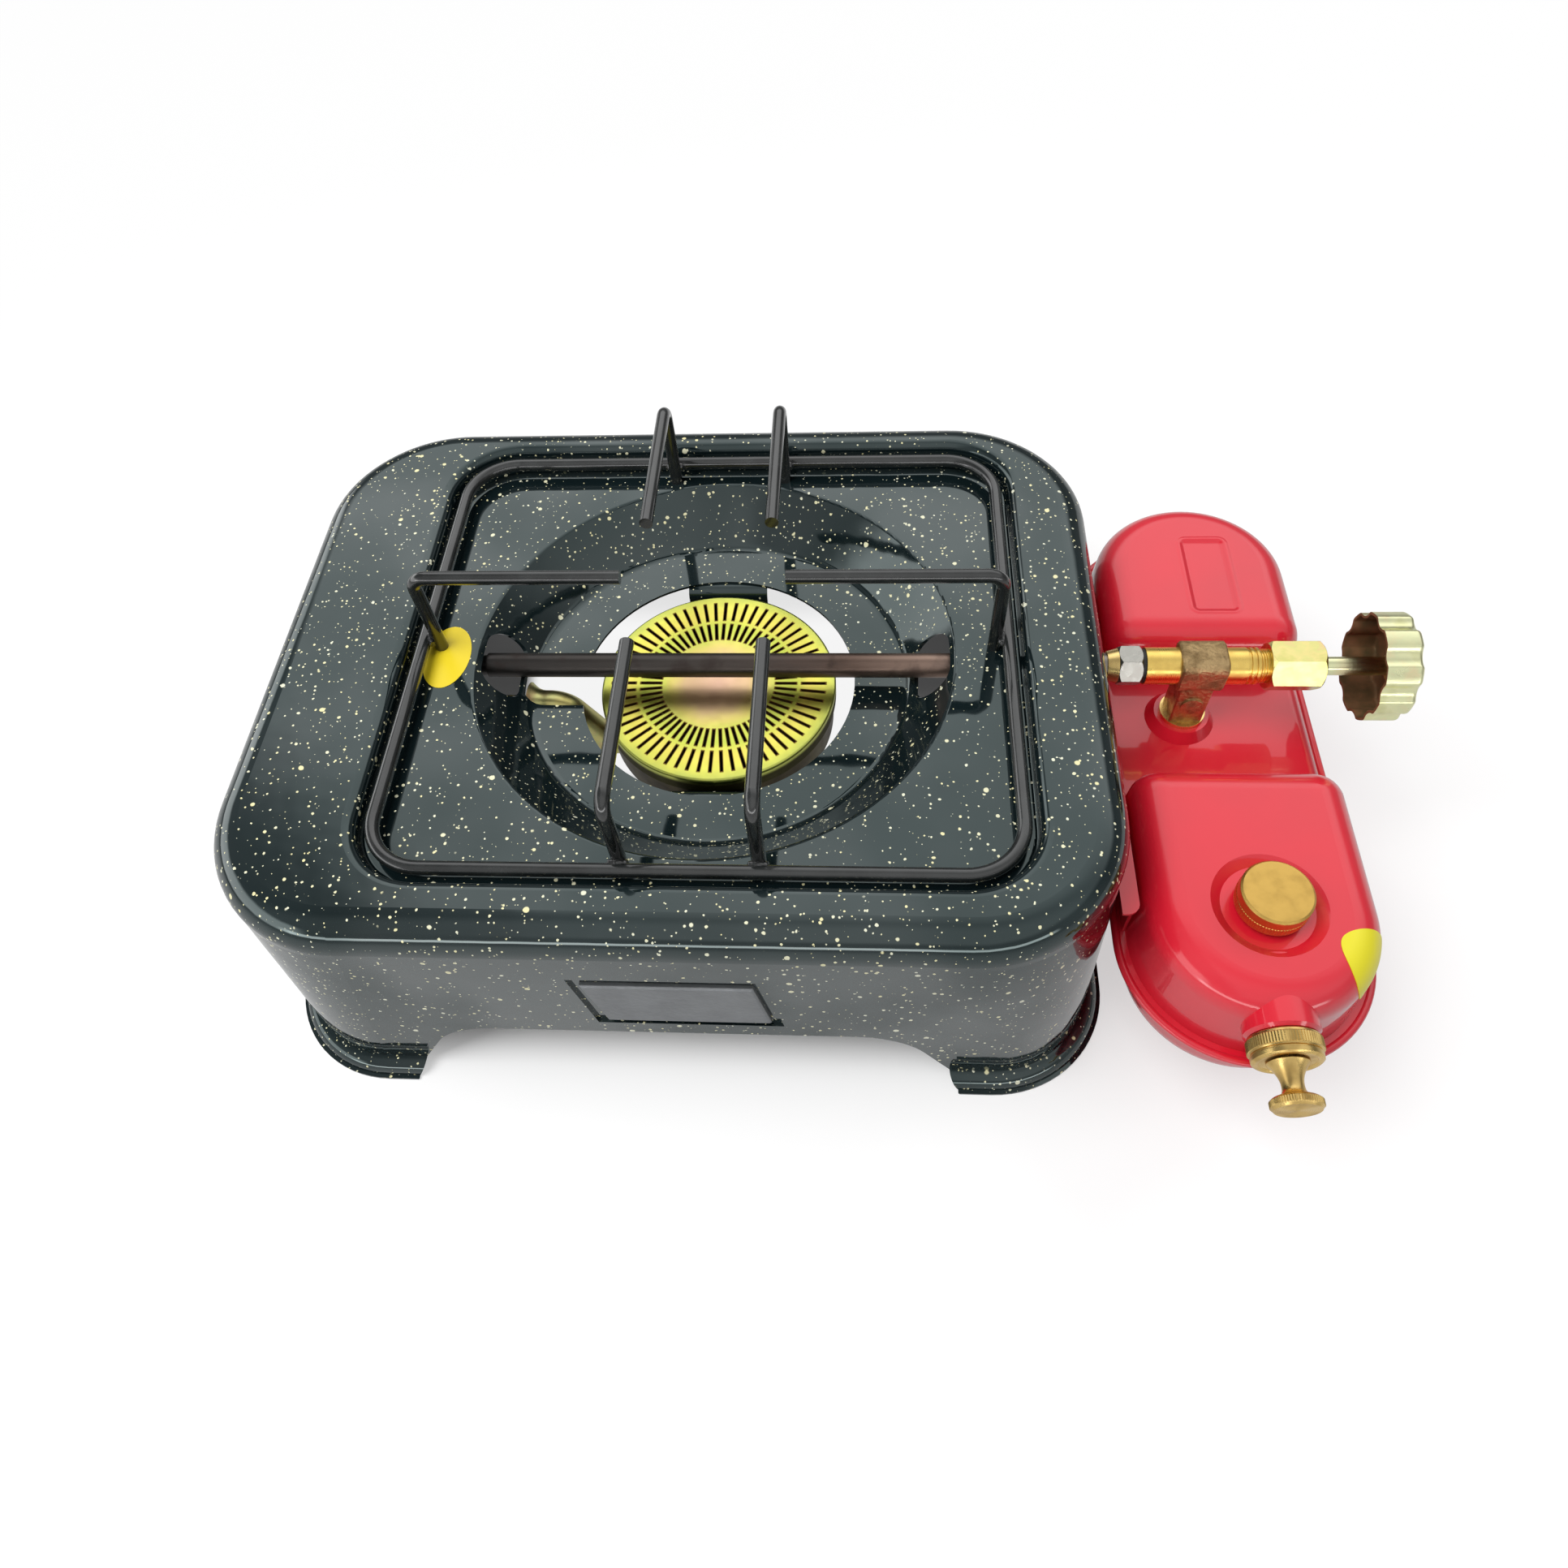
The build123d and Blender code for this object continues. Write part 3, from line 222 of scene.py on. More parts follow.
def add_piece(
    name, points, material, body, degrees, close_rows=False, poles=False, replaces=()
):
    """Makes a closed surface from a grid of points whose columns run round.

    With poles, the first and last rows shrink to a point each, joined by a fan of triangles.
    The signed volume, a sum of point products over the faces, turns every face outwards.
    Shading is smooth but where faces meet at more than the angle in degrees.
    """
    rows, columns = points.shape[:2]
    verts = points.reshape(-1, 3)
    quads = grid_faces(rows, columns, close_rows, True)
    corners = quads.ravel()
    sizes = np.full(len(quads), 4)
    if poles:
        ends = np.stack([points[0].mean(0), points[-1].mean(0)])
        first = np.arange(columns)
        after = (first + 1) % columns
        last = (rows - 1) * columns
        start_fan = np.stack([np.full(columns, len(verts)), first, after], -1)
        end_fan = np.stack([np.full(columns, len(verts) + 1), last + after, last + first], -1)
        verts = np.concatenate([verts, ends])
        corners = np.concatenate([corners, start_fan.ravel(), end_fan.ravel()])
        sizes = np.concatenate([sizes, np.full(2 * columns, 3)])
    a, b, c, d = (verts[quads[:, k]] - verts.mean(0) for k in range(4))
    volume = np.einsum("ij,ij->", a, np.cross(b, c)) + np.einsum("ij,ij->", a, np.cross(c, d))
    starts = np.concatenate([[0], np.cumsum(sizes)[:-1]])
    if volume < 0:
        owner = np.repeat(np.arange(len(sizes)), sizes)
        step = np.arange(len(corners)) - starts[owner]
        corners = corners[starts[owner] + sizes[owner] - 1 - step]
    mesh = bpy.data.meshes.new(name)
    mesh.vertices.add(len(verts))
    mesh.vertices.foreach_set("co", verts.astype(np.float32).ravel())
    mesh.loops.add(len(corners))
    mesh.loops.foreach_set("vertex_index", corners.astype(np.int32))
    mesh.polygons.add(len(sizes))
    mesh.polygons.foreach_set("loop_start", starts.astype(np.int32))
    mesh.polygons.foreach_set("loop_total", sizes.astype(np.int32))
    mesh.update(calc_edges=True)
    mesh.validate()
    mesh.materials.append(material)
    mesh.shade_smooth()
    mesh.set_sharp_from_angle(angle=np.radians(degrees))
    made = bpy.data.objects.new(name, mesh)
    bpy.context.scene.collection.objects.link(made)
    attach(made, body)
    if replaces:
        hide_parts(*replaces)


def round_axis(centre, axis, along, radius, angle):
    """Points at places along an axis, and at a radius and an angle round it."""
    first, second = (axis + 1) % 3, (axis + 2) % 3
    points = np.empty(np.broadcast(along, radius, angle).shape + (3,))
    points[..., axis] = along
    points[..., first] = centre[first] + radius * np.cos(angle)
    points[..., second] = centre[second] + radius * np.sin(angle)
    return points


def tooth(turns):
    """Triangle wave: 0 at whole turns and 1 halfway between them."""
    return 1 - np.abs(2 * (turns % 1) - 1)


def turned_profile(centre, axis, sign, start, outline, teeth, depth):
    """Profile of (along, radius, share of teeth) rows carried round an axis.

    The radius at an angle is the outline's radius plus depth times the row's share
    times a triangle wave with that many teeth in a turn.
    """
    along, radius, share = (np.array(column)[:, None] for column in zip(*outline))
    samples = 4 * teeth
    angle = np.arange(samples)[None, :] * TURN / samples
    radius = radius + depth * share * tooth(teeth * angle / TURN)
    return round_axis(centre, axis, start + sign * along * MM, radius * MM, angle)


def rounded(rows, corners, steps=4):
    """Outline with listed corners rounded: each is swapped for a short quadratic curve.

    A point of the curve is (1-t)^2 times the start, 2t(1-t) times the corner, t^2 times the end.
    """
    made = []
    for index, row in enumerate(rows):
        if index not in corners:
            made.append(tuple(row))
            continue
        here = np.array(row)
        before, after = np.array(rows[index - 1]), np.array(rows[(index + 1) % len(rows)])
        reach = corners[index]
        start = here + (before - here) * min(0.5, reach / np.hypot(*(before - here)[:2]))
        end = here + (after - here) * min(0.5, reach / np.hypot(*(after - here)[:2]))
        t = np.linspace(0, 1, steps)[:, None]
        curve = (1 - t) ** 2 * start + 2 * t * (1 - t) * here + t**2 * end
        made.extend(map(tuple, curve))
    return made


# Layers of specks in the enamel: the size of a layer's cells, its smallest and largest speck
# as shares of a cell, and the share of its cells that hold a speck
SPECK_LAYERS = (
    (6.5 * MM, 0.05, 0.18, 0.80),
    (3.4 * MM, 0.06, 0.21, 0.85),
    (2.2 * MM, 0.08, 0.25, 0.80),
)


def enamel_finish(name, base, cream, speckle_share):
    """Glossy stove enamel: a wavy black glaze with round cream specks of three sizes."""
    f = Finish(name)
    spot = f.place()
    waver = f.noise(spot, 2.5 * MM, 2.0, 1)
    loose = f.vectors("MULTIPLY_ADD", waver, (0.9 * MM,) * 3, spot)
    specks = 0.0
    tints = []
    for size, small, large, share in SPECK_LAYERS:
        distance, red, green, blue = f.cells(loose, size)
        reach = small + (large - small) * red**2.0
        dot = f.ease(distance - reach, 0.025, -0.025) * (green < share * speckle_share)
        specks = f.maths("MAXIMUM", dot, specks)
        tints.append(blue)
    glaze = f.mix(f.noise(spot, 60 * MM, 2.0), [0.6 * c for c in base], [1.6 * c for c in base])
    pale = f.mix(tints[0], cream, (0.70, 0.70, 0.54))
    colour = f.mix(specks * 0.93, glaze, pale)
    smear = f.noise(spot, 18 * MM, 4.0)
    roughness = 0.02 + 0.07 * smear + 0.12 * specks
    peel = f.noise(spot, 13 * MM, 1.0)
    normal = f.bump(specks, 0.02 * MM, f.bump(peel, 0.10 * MM))
    f.shader.inputs["Specular IOR Level"].default_value = 0.85
    f.shader.inputs["Specular Tint"].default_value = (0.82, 1.0, 0.98, 1.0)
    cloud = f.ease(f.noise(spot, 70 * MM, 2.0), 0.35, 0.65)
    return f.done(colour, roughness, 0.0, 0.55 * cloud, 0.04, normal)


def wire_finish():
    """Glossy black enamel of the grate wire, a little uneven."""
    f = Finish("grate_enamel")
    spot = f.place()
    worn = f.noise(spot, 9 * MM, 4.0)
    colour = f.ramp(worn, (0.3, (0.005, 0.006, 0.006)), (0.75, (0.015, 0.017, 0.017)))
    roughness = 0.14 + 0.20 * worn
    normal = f.bump(f.noise(spot, 2.2 * MM, 3.0), 0.05 * MM)
    return f.done(colour, roughness, 0.0, 1.0, 0.06, normal)


def plated_finish(name, stops, size, roughness, grain=None, edge=0.25 * MM):
    """Yellow zinc plate: colour drifts over the surface as the plate's thickness does.

    A grain stretches the fine bumps along the axes.
    """
    f = Finish(name)
    spot = f.place()
    drift = f.noise(spot, size, 3.0)
    colour = f.ramp(drift, *stops)
    shine = roughness + 0.16 * (f.noise(spot, 5 * MM, 3.0) - 0.5)
    if grain is None:
        height = f.noise(spot, 0.8 * MM, 2.0)
    else:
        height = f.noise(f.place(stretch=grain), 1 * MM, 2.0)
    return f.done(colour, shine, 1.0, normal=f.bump(height, 0.02 * MM, f.edge(edge)))


# Stops of colour ramps: a place along the ramp and the colour there
ZINC_STOPS = (
    (0.30, (0.56, 0.57, 0.17)), (0.42, (0.78, 0.68, 0.26)), (0.50, (0.70, 0.69, 0.29)),
    (0.60, (0.80, 0.53, 0.28)), (0.72, (0.52, 0.61, 0.25)),
)
NUT_STOPS = (
    (0.30, (0.65, 0.61, 0.21)), (0.45, (0.76, 0.66, 0.27)), (0.55, (0.69, 0.65, 0.25)),
    (0.68, (0.77, 0.53, 0.29)), (0.80, (0.60, 0.63, 0.24)),
)
PALE_ZINC_STOPS = (
    (0.30, (0.80, 0.80, 0.42)), (0.45, (0.93, 0.93, 0.56)), (0.55, (0.87, 0.89, 0.54)),
    (0.68, (0.93, 0.83, 0.50)), (0.80, (0.78, 0.86, 0.48)),
)
# Nearly black pan: painted shade for the pan in the shadow under the burner cap
SHADED_PAN_STOPS = ((0.3, (0.030, 0.024, 0.014)), (0.5, (0.075, 0.060, 0.028)), (0.72, (0.14, 0.12, 0.05)))
RUST_STOPS = ((0.3, (0.085, 0.060, 0.026)), (0.55, (0.18, 0.095, 0.045)), (0.85, (0.24, 0.115, 0.060)))
# By radius, from the middle of the burner cap to its rim
CAP_STOPS = (
    (0.00, (0.88, 0.56, 0.40)), (0.26, (0.92, 0.64, 0.36)), (0.40, (0.90, 0.76, 0.22)),
    (0.50, (0.74, 0.80, 0.14)), (0.62, (0.66, 0.76, 0.12)), (0.74, (0.94, 0.82, 0.16)),
    (0.86, (0.86, 0.84, 0.15)), (0.96, (0.62, 0.68, 0.15)),
)
# Along the generator tube, from its left end to its right one
HEAT_STOPS = (
    (0.00, (0.050, 0.047, 0.045)), (0.28, (0.080, 0.070, 0.064)), (0.44, (0.095, 0.076, 0.067)),
    (0.56, (0.14, 0.094, 0.075)), (0.68, (0.31, 0.215, 0.170)), (0.76, (0.24, 0.175, 0.145)),
    (0.84, (0.17, 0.140, 0.125)), (0.97, (0.34, 0.31, 0.28)),
)


# Burner cap, in mm: radii at which its two rings of slots start and end, the radius where the
# bands of colour end, how far noise shifts them, and half the width of a slot's scorch outside
# and inside
SLOT_RINGS = ((24.8, 33.5), (36.0, 46.0))
BAND_RADIUS = 52.0
BAND_DRIFT = 7.0
SCORCH_OUTSIDE, SCORCH_INSIDE = 1.05, 0.60


def burner_cap_finish(settings):
    """Plated burner cap: bands of colour by radius, scorched edges round every slot, and painted shade
    that darkens its skirt.

    A slot's edge is where the angle folded into one slot's share and the radius both lie
    close to the slot.
    """
    f = Finish("burner_cap_plate")
    spot = f.place(tuple(middle("burner_cap")))
    x, y, z = f.axes(spot)
    low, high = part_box("burner_cap")
    half_height = (high.z - low.z) / 2
    skirt_shade = f.ease(z, half_height - 1.6 * MM, half_height - 4.0 * MM)
    radius = (x * x + y * y) ** 0.5 / MM
    drift = f.noise(spot, 9 * MM, 3.0) - 0.5
    band = (radius + BAND_DRIFT * drift) / BAND_RADIUS
    colour = f.ramp(band, *CAP_STOPS)
    angle = f.maths("ARCTAN2", y, x) + TURN
    across = f.maths("PINGPONG", angle, TURN / settings.slots / 2) * radius
    rings = 0.0
    for inner, outer in SLOT_RINGS:
        reach = f.maths("ABSOLUTE", radius - (inner + outer) / 2)
        half_length = (outer - inner) / 2
        ring = f.ease(reach, half_length + 0.9, half_length + 0.2)
        rings = f.maths("MAXIMUM", ring, rings)
    scorch = rings * f.ease(across, SCORCH_OUTSIDE, SCORCH_INSIDE)
    colour = f.mix(scorch * 0.9, colour, (0.16, 0.045, 0.02))
    # Painted shade: the skirt's colour falls to near black below the cap's top.
    colour = f.mix(skirt_shade * 0.92, colour, (0.035, 0.024, 0.014))
    roughness = 0.24 + 0.25 * scorch + 0.30 * skirt_shade + 0.20 * f.noise(spot, 4 * MM, 3.0)
    dents = f.noise(spot, 12 * MM, 2.0)
    return f.done(colour, roughness, 1.0, normal=f.bump(dents, 0.12 * MM))


def generator_finish():
    """Steel tube with heat colours along it and a brighter machined end."""
    f = Finish("heated_steel")
    low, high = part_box("generator_tube")
    length = high.x - low.x
    spot = f.place((low.x, 0, 0))
    x, _, _ = f.axes(spot)
    streaks = f.noise(f.place(stretch=(6, 1, 1)), 3 * MM, 3.0)
    along = x / length + 0.10 * (streaks - 0.5)
    colour = f.ramp(along, *HEAT_STOPS)
    patches = f.ease(f.noise(spot, 14 * MM, 4.0), 0.52, 0.70)
    colour = f.mix(patches * 0.55, colour, (0.05, 0.035, 0.03))
    roughness = 0.25 + 0.22 * streaks + 0.15 * patches
    return f.done(colour, roughness, 0.9, normal=f.bump(streaks, 0.04 * MM))


def brass_finish(
    name, base, dark, roughness, grime_share, turn_axis=None, relief=0.02 * MM, edge=0.25 * MM
):
    """Brass or bronze: turned rings or a cast skin, darker where grime has settled."""
    f = Finish(name)
    spot = f.place()
    grime = f.ease(f.noise(spot, 6 * MM, 5.0), 0.40, 0.72) * grime_share
    colour = f.mix(grime, base, dark)
    if turn_axis is None:
        skin = f.noise(spot, 1.4 * MM, 6.0)
    else:
        skin = f.noise(f.axes(spot)[turn_axis] / MM, 0.35, 2.0)
    shine = roughness + 0.25 * grime + 0.10 * (skin - 0.5)
    return f.done(colour, shine, 1.0, normal=f.bump(skin, relief, f.edge(edge)))


def steel_finish(name, base, roughness, size):
    """Bright plated steel with a faint spangle of crystal patches."""
    f = Finish(name)
    spot = f.place()
    _, red, _, _ = f.cells(spot, size)
    colour = f.mix(red, [0.78 * c for c in base], base)
    shine = roughness + 0.12 * (red - 0.5)
    grain = f.noise(spot, 1 * MM, 2.0)
    return f.done(colour, shine, 1.0, normal=f.bump(grain, 0.02 * MM, f.edge(0.3 * MM)))


def paint_finish(settings):
    """Red gloss paint over pressed steel, with a slight sag in its surface."""
    f = Finish("red_gloss_paint")
    spot = f.place()
    base = tuple(settings.paint)
    cloud = f.noise(spot, 45 * MM, 3.0)
    colour = f.mix(cloud, [0.86 * c for c in base], [min(1.0, 1.12 * c) for c in base])
    peel = f.noise(spot, 7 * MM, 1.0)
    normal = f.bump(peel, 0.05 * MM)
    return f.done(colour, 0.34 + 0.08 * cloud, 0.0, 1.0, 0.045, normal)


def wheel_finish():
    """Plated outside of the handwheel and its brown, unplated inside.

    The inside is where the surface looks towards the wheel's own axis, or back out of the cup
    beyond the hub's radius.
    """
    f = Finish("handwheel_plate")
    hub_radius = 8 * MM
    spot = f.place(tuple(middle("handwheel")))
    _, y, z = f.axes(spot)
    normal = f.node("ShaderNodeTexCoord", {}, {}, "Normal")
    normal_x, normal_y, normal_z = f.axes(normal)
    radius = (y * y + z * z) ** 0.5
    facing = (normal_y * y + normal_z * z) / radius
    inward = f.ease(facing, -0.35, -0.60)
    floor = f.ease(normal_x, -0.4, -0.8) * (radius > hub_radius)
    inside = f.maths("MAXIMUM", inward, floor)
    rust = f.noise(spot, 7 * MM, 4.0)
    brown = f.ramp(rust, *RUST_STOPS)
    drift = f.noise(spot, 10 * MM, 3.0)
    plate = f.ramp(drift, *PALE_ZINC_STOPS)
    colour = f.mix(inside, plate, brown)
    roughness = 0.24 + 0.30 * inside + 0.10 * rust
    metal = 1.0 - 0.7 * inside
    grain = f.noise(spot, 1 * MM, 3.0)
    return f.done(colour, roughness, metal, normal=f.bump(grain, 0.03 * MM, f.edge(0.4 * MM)))


def plain_finish(name, base, roughness, metallic=0.0, size=1.5 * MM, depth=0.04 * MM, edge=None):
    """Dull finish with a fine grain: rubber, cork, leather, pewter."""
    f = Finish(name)
    spot = f.place()
    grain = f.noise(spot, size, 4.0)
    cloud = f.noise(spot, 12 * MM, 3.0)
    colour = f.mix(cloud, [0.75 * c for c in base], [min(1.0, 1.2 * c) for c in base])
    normal = f.bump(grain, depth, f.edge(edge)) if edge else f.bump(grain, depth)
    return f.done(colour, roughness + 0.15 * (grain - 0.5), metallic, normal=normal)


class StoveBodySettings(bpy.types.PropertyGroup):
    """Enamel and grate."""

    glaze: FloatVectorProperty(
        name="Glaze", description="Colour of the black stove enamel", subtype="COLOR",
        default=(0.0042, 0.0086, 0.0098), min=0, max=1,
    )
    cream: FloatVectorProperty(
        name="Specks", description="Colour of the specks in the enamel", subtype="COLOR",
        default=(0.74, 0.68, 0.36), min=0, max=1,
    )
    speckle: FloatProperty(
        name="Speckle", description="Share of the specks that show", subtype="FACTOR",
        default=1.0, min=0, max=1,
    )
    bead: FloatProperty(
        name="Weld bead", description="Half length of a weld bead along the grate ring",
        subtype="DISTANCE", unit="LENGTH", default=4.4 * MM, min=1 * MM, max=9 * MM,
    )


class BurnerSettings(bpy.types.PropertyGroup):
    """Burner cap and valve line."""

    slots: IntProperty(
        name="Slots", description="Flame slots in each ring of the burner cap",
        default=60, min=12, max=120,
    )
    thread_pitch: FloatProperty(
        name="Thread pitch", description="Pitch of the exposed packing thread",
        subtype="DISTANCE", unit="LENGTH", default=1.0 * MM, min=0.5 * MM, max=2 * MM,
    )


class TankSettings(bpy.types.PropertyGroup):
    """Tank paint, caps and knob."""

    paint: FloatVectorProperty(
        name="Paint", description="Colour of the tank's paint", subtype="COLOR",
        default=(0.58, 0.0085, 0.024), min=0, max=1,
    )
    label: FloatVectorProperty(
        name="Sticker", description="Colour of the plain stickers", subtype="COLOR",
        default=(0.68, 0.61, 0.02), min=0, max=1,
    )
    cap_teeth: IntProperty(
        name="Cap ribs", description="Ribs round the filler and pump caps", default=78, min=24, max=140
    )
    knob_teeth: IntProperty(
        name="Knob ribs", description="Ribs round the pump knob's rim", default=64, min=24, max=140
    )


class StageSettings(bpy.types.PropertyGroup):
    """Floor and lamps."""

    floor: FloatVectorProperty(
        name="Floor", description="Colour of the floor", subtype="COLOR",
        default=(0.90, 0.90, 0.90), min=0, max=1,
    )
    key_power: FloatProperty(
        name="Main lamp", description="Power of the main lamp", unit="POWER",
        default=20.0, min=0, max=200,
    )
    fill_power: FloatProperty(
        name="Side lamp", description="Power of the side lamp", unit="POWER",
        default=8.0, min=0, max=200,
    )


class STOVE_OT_body(bpy.types.Operator):
    """Enamel the pressed body and its bridge, and finish the plain name plate"""

    bl_idname = "stove.body"
    bl_label = "Body"

    def execute(self, context):
        s = context.scene.stove_body
        glaze, cream = tuple(s.glaze), tuple(s.cream)
        dress(enamel_finish("speckled_enamel", glaze, cream, s.speckle), "body_shell")
        dress(enamel_finish("bridge_enamel", glaze, cream, 0.25 * s.speckle), "burner_bridge")
        pewter = (0.24, 0.25, 0.26)
        plate = plain_finish("pewter_plate", pewter, 0.44, 0.80, 2.4 * MM, 0.25 * MM, 0.6 * MM)
        dress(plate, "name_plate")
        return {"FINISHED"}


class STOVE_OT_grate(bpy.types.Operator):
    """Enamel the grate wire and add a weld bead where each finger joins the ring"""

    bl_idname = "stove.grate"
    bl_label = "Grate"

    def execute(self, context):
        s = context.scene.stove_body
        finish = wire_finish()
        fingers = [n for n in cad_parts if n.startswith("grate_finger")]
        dress(finish, "grate_ring", *fingers)
        ring_low, ring_high = (np.array(c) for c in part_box("grate_ring"))
        wire = ring_high[Z_AXIS] - ring_low[Z_AXIS]
        ring_middle = (ring_low + ring_high) / 2
        for finger in sorted(fingers):
            low, high = (np.array(c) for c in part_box(finger))
            width, depth, _ = high - low
            across = X_AXIS if width > depth else Y_AXIS
            outwards = 1 if (low + high)[across] / 2 > ring_middle[across] else -1
            leg = high[across] - wire / 2 if outwards > 0 else low[across] + wire / 2
            edge = ring_high[across] - wire / 2 if outwards > 0 else ring_low[across] + wire / 2
            centre = (low + high) / 2
            centre[across] = (leg + edge) / 2
            centre[Z_AXIS] = ring_middle[Z_AXIS]
            points = self.bead(centre, across, s.bead, wire)
            name = "weld_bead_" + finger.removeprefix("grate_finger_")
            add_piece(name, points, finish, "grate", 60, poles=True)
        return {"FINISHED"}

    def bead(self, centre, across, half_length, wire):
        """Ellipsoid of a weld: each axis is a half size times a sine or cosine of the two
        angles, and the radius swells in four ripples along the ring."""
        rows, columns = 25, 32
        half_width, half_height = 0.42 * wire, 0.46 * wire
        down = np.linspace(0.04, 0.96, rows)[:, None] * np.pi
        angle = np.arange(columns)[None, :] * TURN / columns
        swell = 1 + 0.07 * np.cos(8 * down) + 0.03 * np.sin(3 * angle + 2 * down)
        points = np.empty((rows, columns, 3))
        along = Y_AXIS if across == X_AXIS else X_AXIS
        points[..., along] = centre[along] + half_length * np.cos(down) * swell
        points[..., across] = centre[across] + half_width * np.sin(down) * np.cos(angle) * swell
        points[..., Z_AXIS] = centre[Z_AXIS] + half_height * np.sin(down) * np.sin(angle) * swell
        return points


class STOVE_OT_burner(bpy.types.Operator):
    """Finish the burner: slotted cap, pan, mixing tube and bolt"""

    bl_idname = "stove.burner"
    bl_label = "Burner"

    def execute(self, context):
        dress(burner_cap_finish(context.scene.stove_burner), "burner_cap")
        # The pan's near-black plate is painted shade.
        dress(plated_finish("shaded_pan_plate", SHADED_PAN_STOPS, 16 * MM, 0.42), "burner_pan")
        dress(plated_finish("tube_plate", ZINC_STOPS, 18 * MM, 0.38), "mixing_tube", "burner_bolt")
        return {"FINISHED"}


class STOVE_OT_valve(bpy.types.Operator):
    """Finish the generator, the valve line and the handwheel, and cut their fine detail"""

    bl_idname = "stove.valve"
    bl_label = "Valve line"

    def execute(self, context):
        s = context.scene.stove_burner
        dress(generator_finish(), "generator_tube", "generator_core", "return_bend")
        golden, shade = (1.0, 0.71, 0.19), (0.66, 0.40, 0.10)
        sleeve = brass_finish("turned_brass", golden, shade, 0.27, 0.45, X_AXIS, 0.006 * MM)
        bright = brass_finish("bright_brass", (0.90, 0.66, 0.26), (0.45, 0.27, 0.08), 0.22, 0.4)
        cast = brass_finish(
            "cast_bronze", (0.60, 0.42, 0.21), (0.22, 0.14, 0.06), 0.44, 0.75, None, 0.8 * MM, 0.5 * MM
        )
        dress(sleeve, "inner_valve_sleeve", "outer_valve_sleeve")
        dress(bright, "jet_nozzle", "coupling_cone", "valve_bung")
        dress(bright, "pickup_tube", "check_valve", "plunger_nut")
        dress(cast, "valve_block")
        dress(steel_finish("grey_zinc", (0.47, 0.46, 0.42), 0.32, 2.4 * MM), "coupling_nut")
        dress(plated_finish("nut_plate", NUT_STOPS, 11 * MM, 0.24), "packing_nut")
        dress(
            plated_finish("stem_plate", PALE_ZINC_STOPS, 22 * MM, 0.24, (1, 9, 9)),
            "valve_stem", "name_plate_pins",
        )
        dress(wheel_finish(), "handwheel")
        dress(plain_finish("black_seal", (0.014, 0.014, 0.014), 0.55), "coupling_washer", "stem_packing")
        points = self.thread(s.thread_pitch)
        add_piece("packing_thread", points, sleeve, "stove", 25, poles=True)
        screw_plate = plated_finish("screw_plate", PALE_ZINC_STOPS, 6 * MM, 0.25)
        add_piece(
            "slotted_screw", self.slotted_screw(), screw_plate, "wheel", 28,
            poles=True, replaces=("handwheel_screw",),
        )
        return {"FINISHED"}

    def thread(self, pitch):
        """Four-sided ridge carried along a helix.

        The helix goes round the valve line while its x grows by one pitch a turn, and the
        ridge's size is eased in and out at both ends so that it runs out to a point.
        """
        centre = middle("outer_valve_sleeve")
        from_end, root_radius = 8.45 * MM, 6.5 * MM
        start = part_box("outer_valve_sleeve")[1].x - from_end
        turns, run_out, samples = 3.6, 0.5, 260
        t = np.linspace(0, turns, samples)[:, None]
        ends = np.clip(np.minimum(t, turns - t) / run_out, 0.02, 1)
        along = np.array([-0.42, -0.12, 0.12, 0.42])[None, :] * pitch * ends
        lift = np.array([-0.12, 0.48, 0.48, -0.12])[None, :] * MM * ends
        return round_axis(centre, X_AXIS, start + t * pitch + along, root_radius + lift, TURN * t)

    def slotted_screw(self):
        """Domed screw head on a square grid bent to a disc, so that a slot follows its lines.

        A square of u and v becomes a disc by u times the root of 1 - v*v/2, and the same
        for v. The dome falls with a power of the radius and the slot is a flat trough in v.
        """
        low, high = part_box("handwheel_screw")
        centre = middle("handwheel_screw")
        radius = (high.y - low.y) / 2
        dome_fall, slot_depth = 0.9 * MM, 0.7 * MM
        slot_half_width, slot_slope = 0.75 * MM, 0.12 * MM
        rings, around = 26, 96
        share = np.linspace(0.03, 1, rings)[:, None]
        angle = (np.arange(around)[None, :] + 0.5) * TURN / around
        cosine, sine = np.cos(angle), np.sin(angle)
        box = share / np.maximum(np.abs(cosine), np.abs(sine))
        u, v = box * cosine, box * sine
        across = u * np.sqrt(1 - v * v / 2) * radius
        up = v * np.sqrt(1 - u * u / 2) * radius
        spread = (across**2 + up**2) / radius**2
        dome = high.x - dome_fall * spread**1.6
        trough = np.clip((slot_half_width - np.abs(up)) / slot_slope, 0, 1)
        x = dome - slot_depth * trough
        front = np.stack([x, centre[Y_AXIS] + across, centre[Z_AXIS] + up], -1)
        back = front[::-1].copy()
        back[..., X_AXIS] = low.x
        return np.concatenate([front, back])


# Depths in mm of the filler cap's ribs, and of the knurls on the pump's cap and knob
RIB_DEPTH, KNURL_DEPTH = 0.28, 0.30


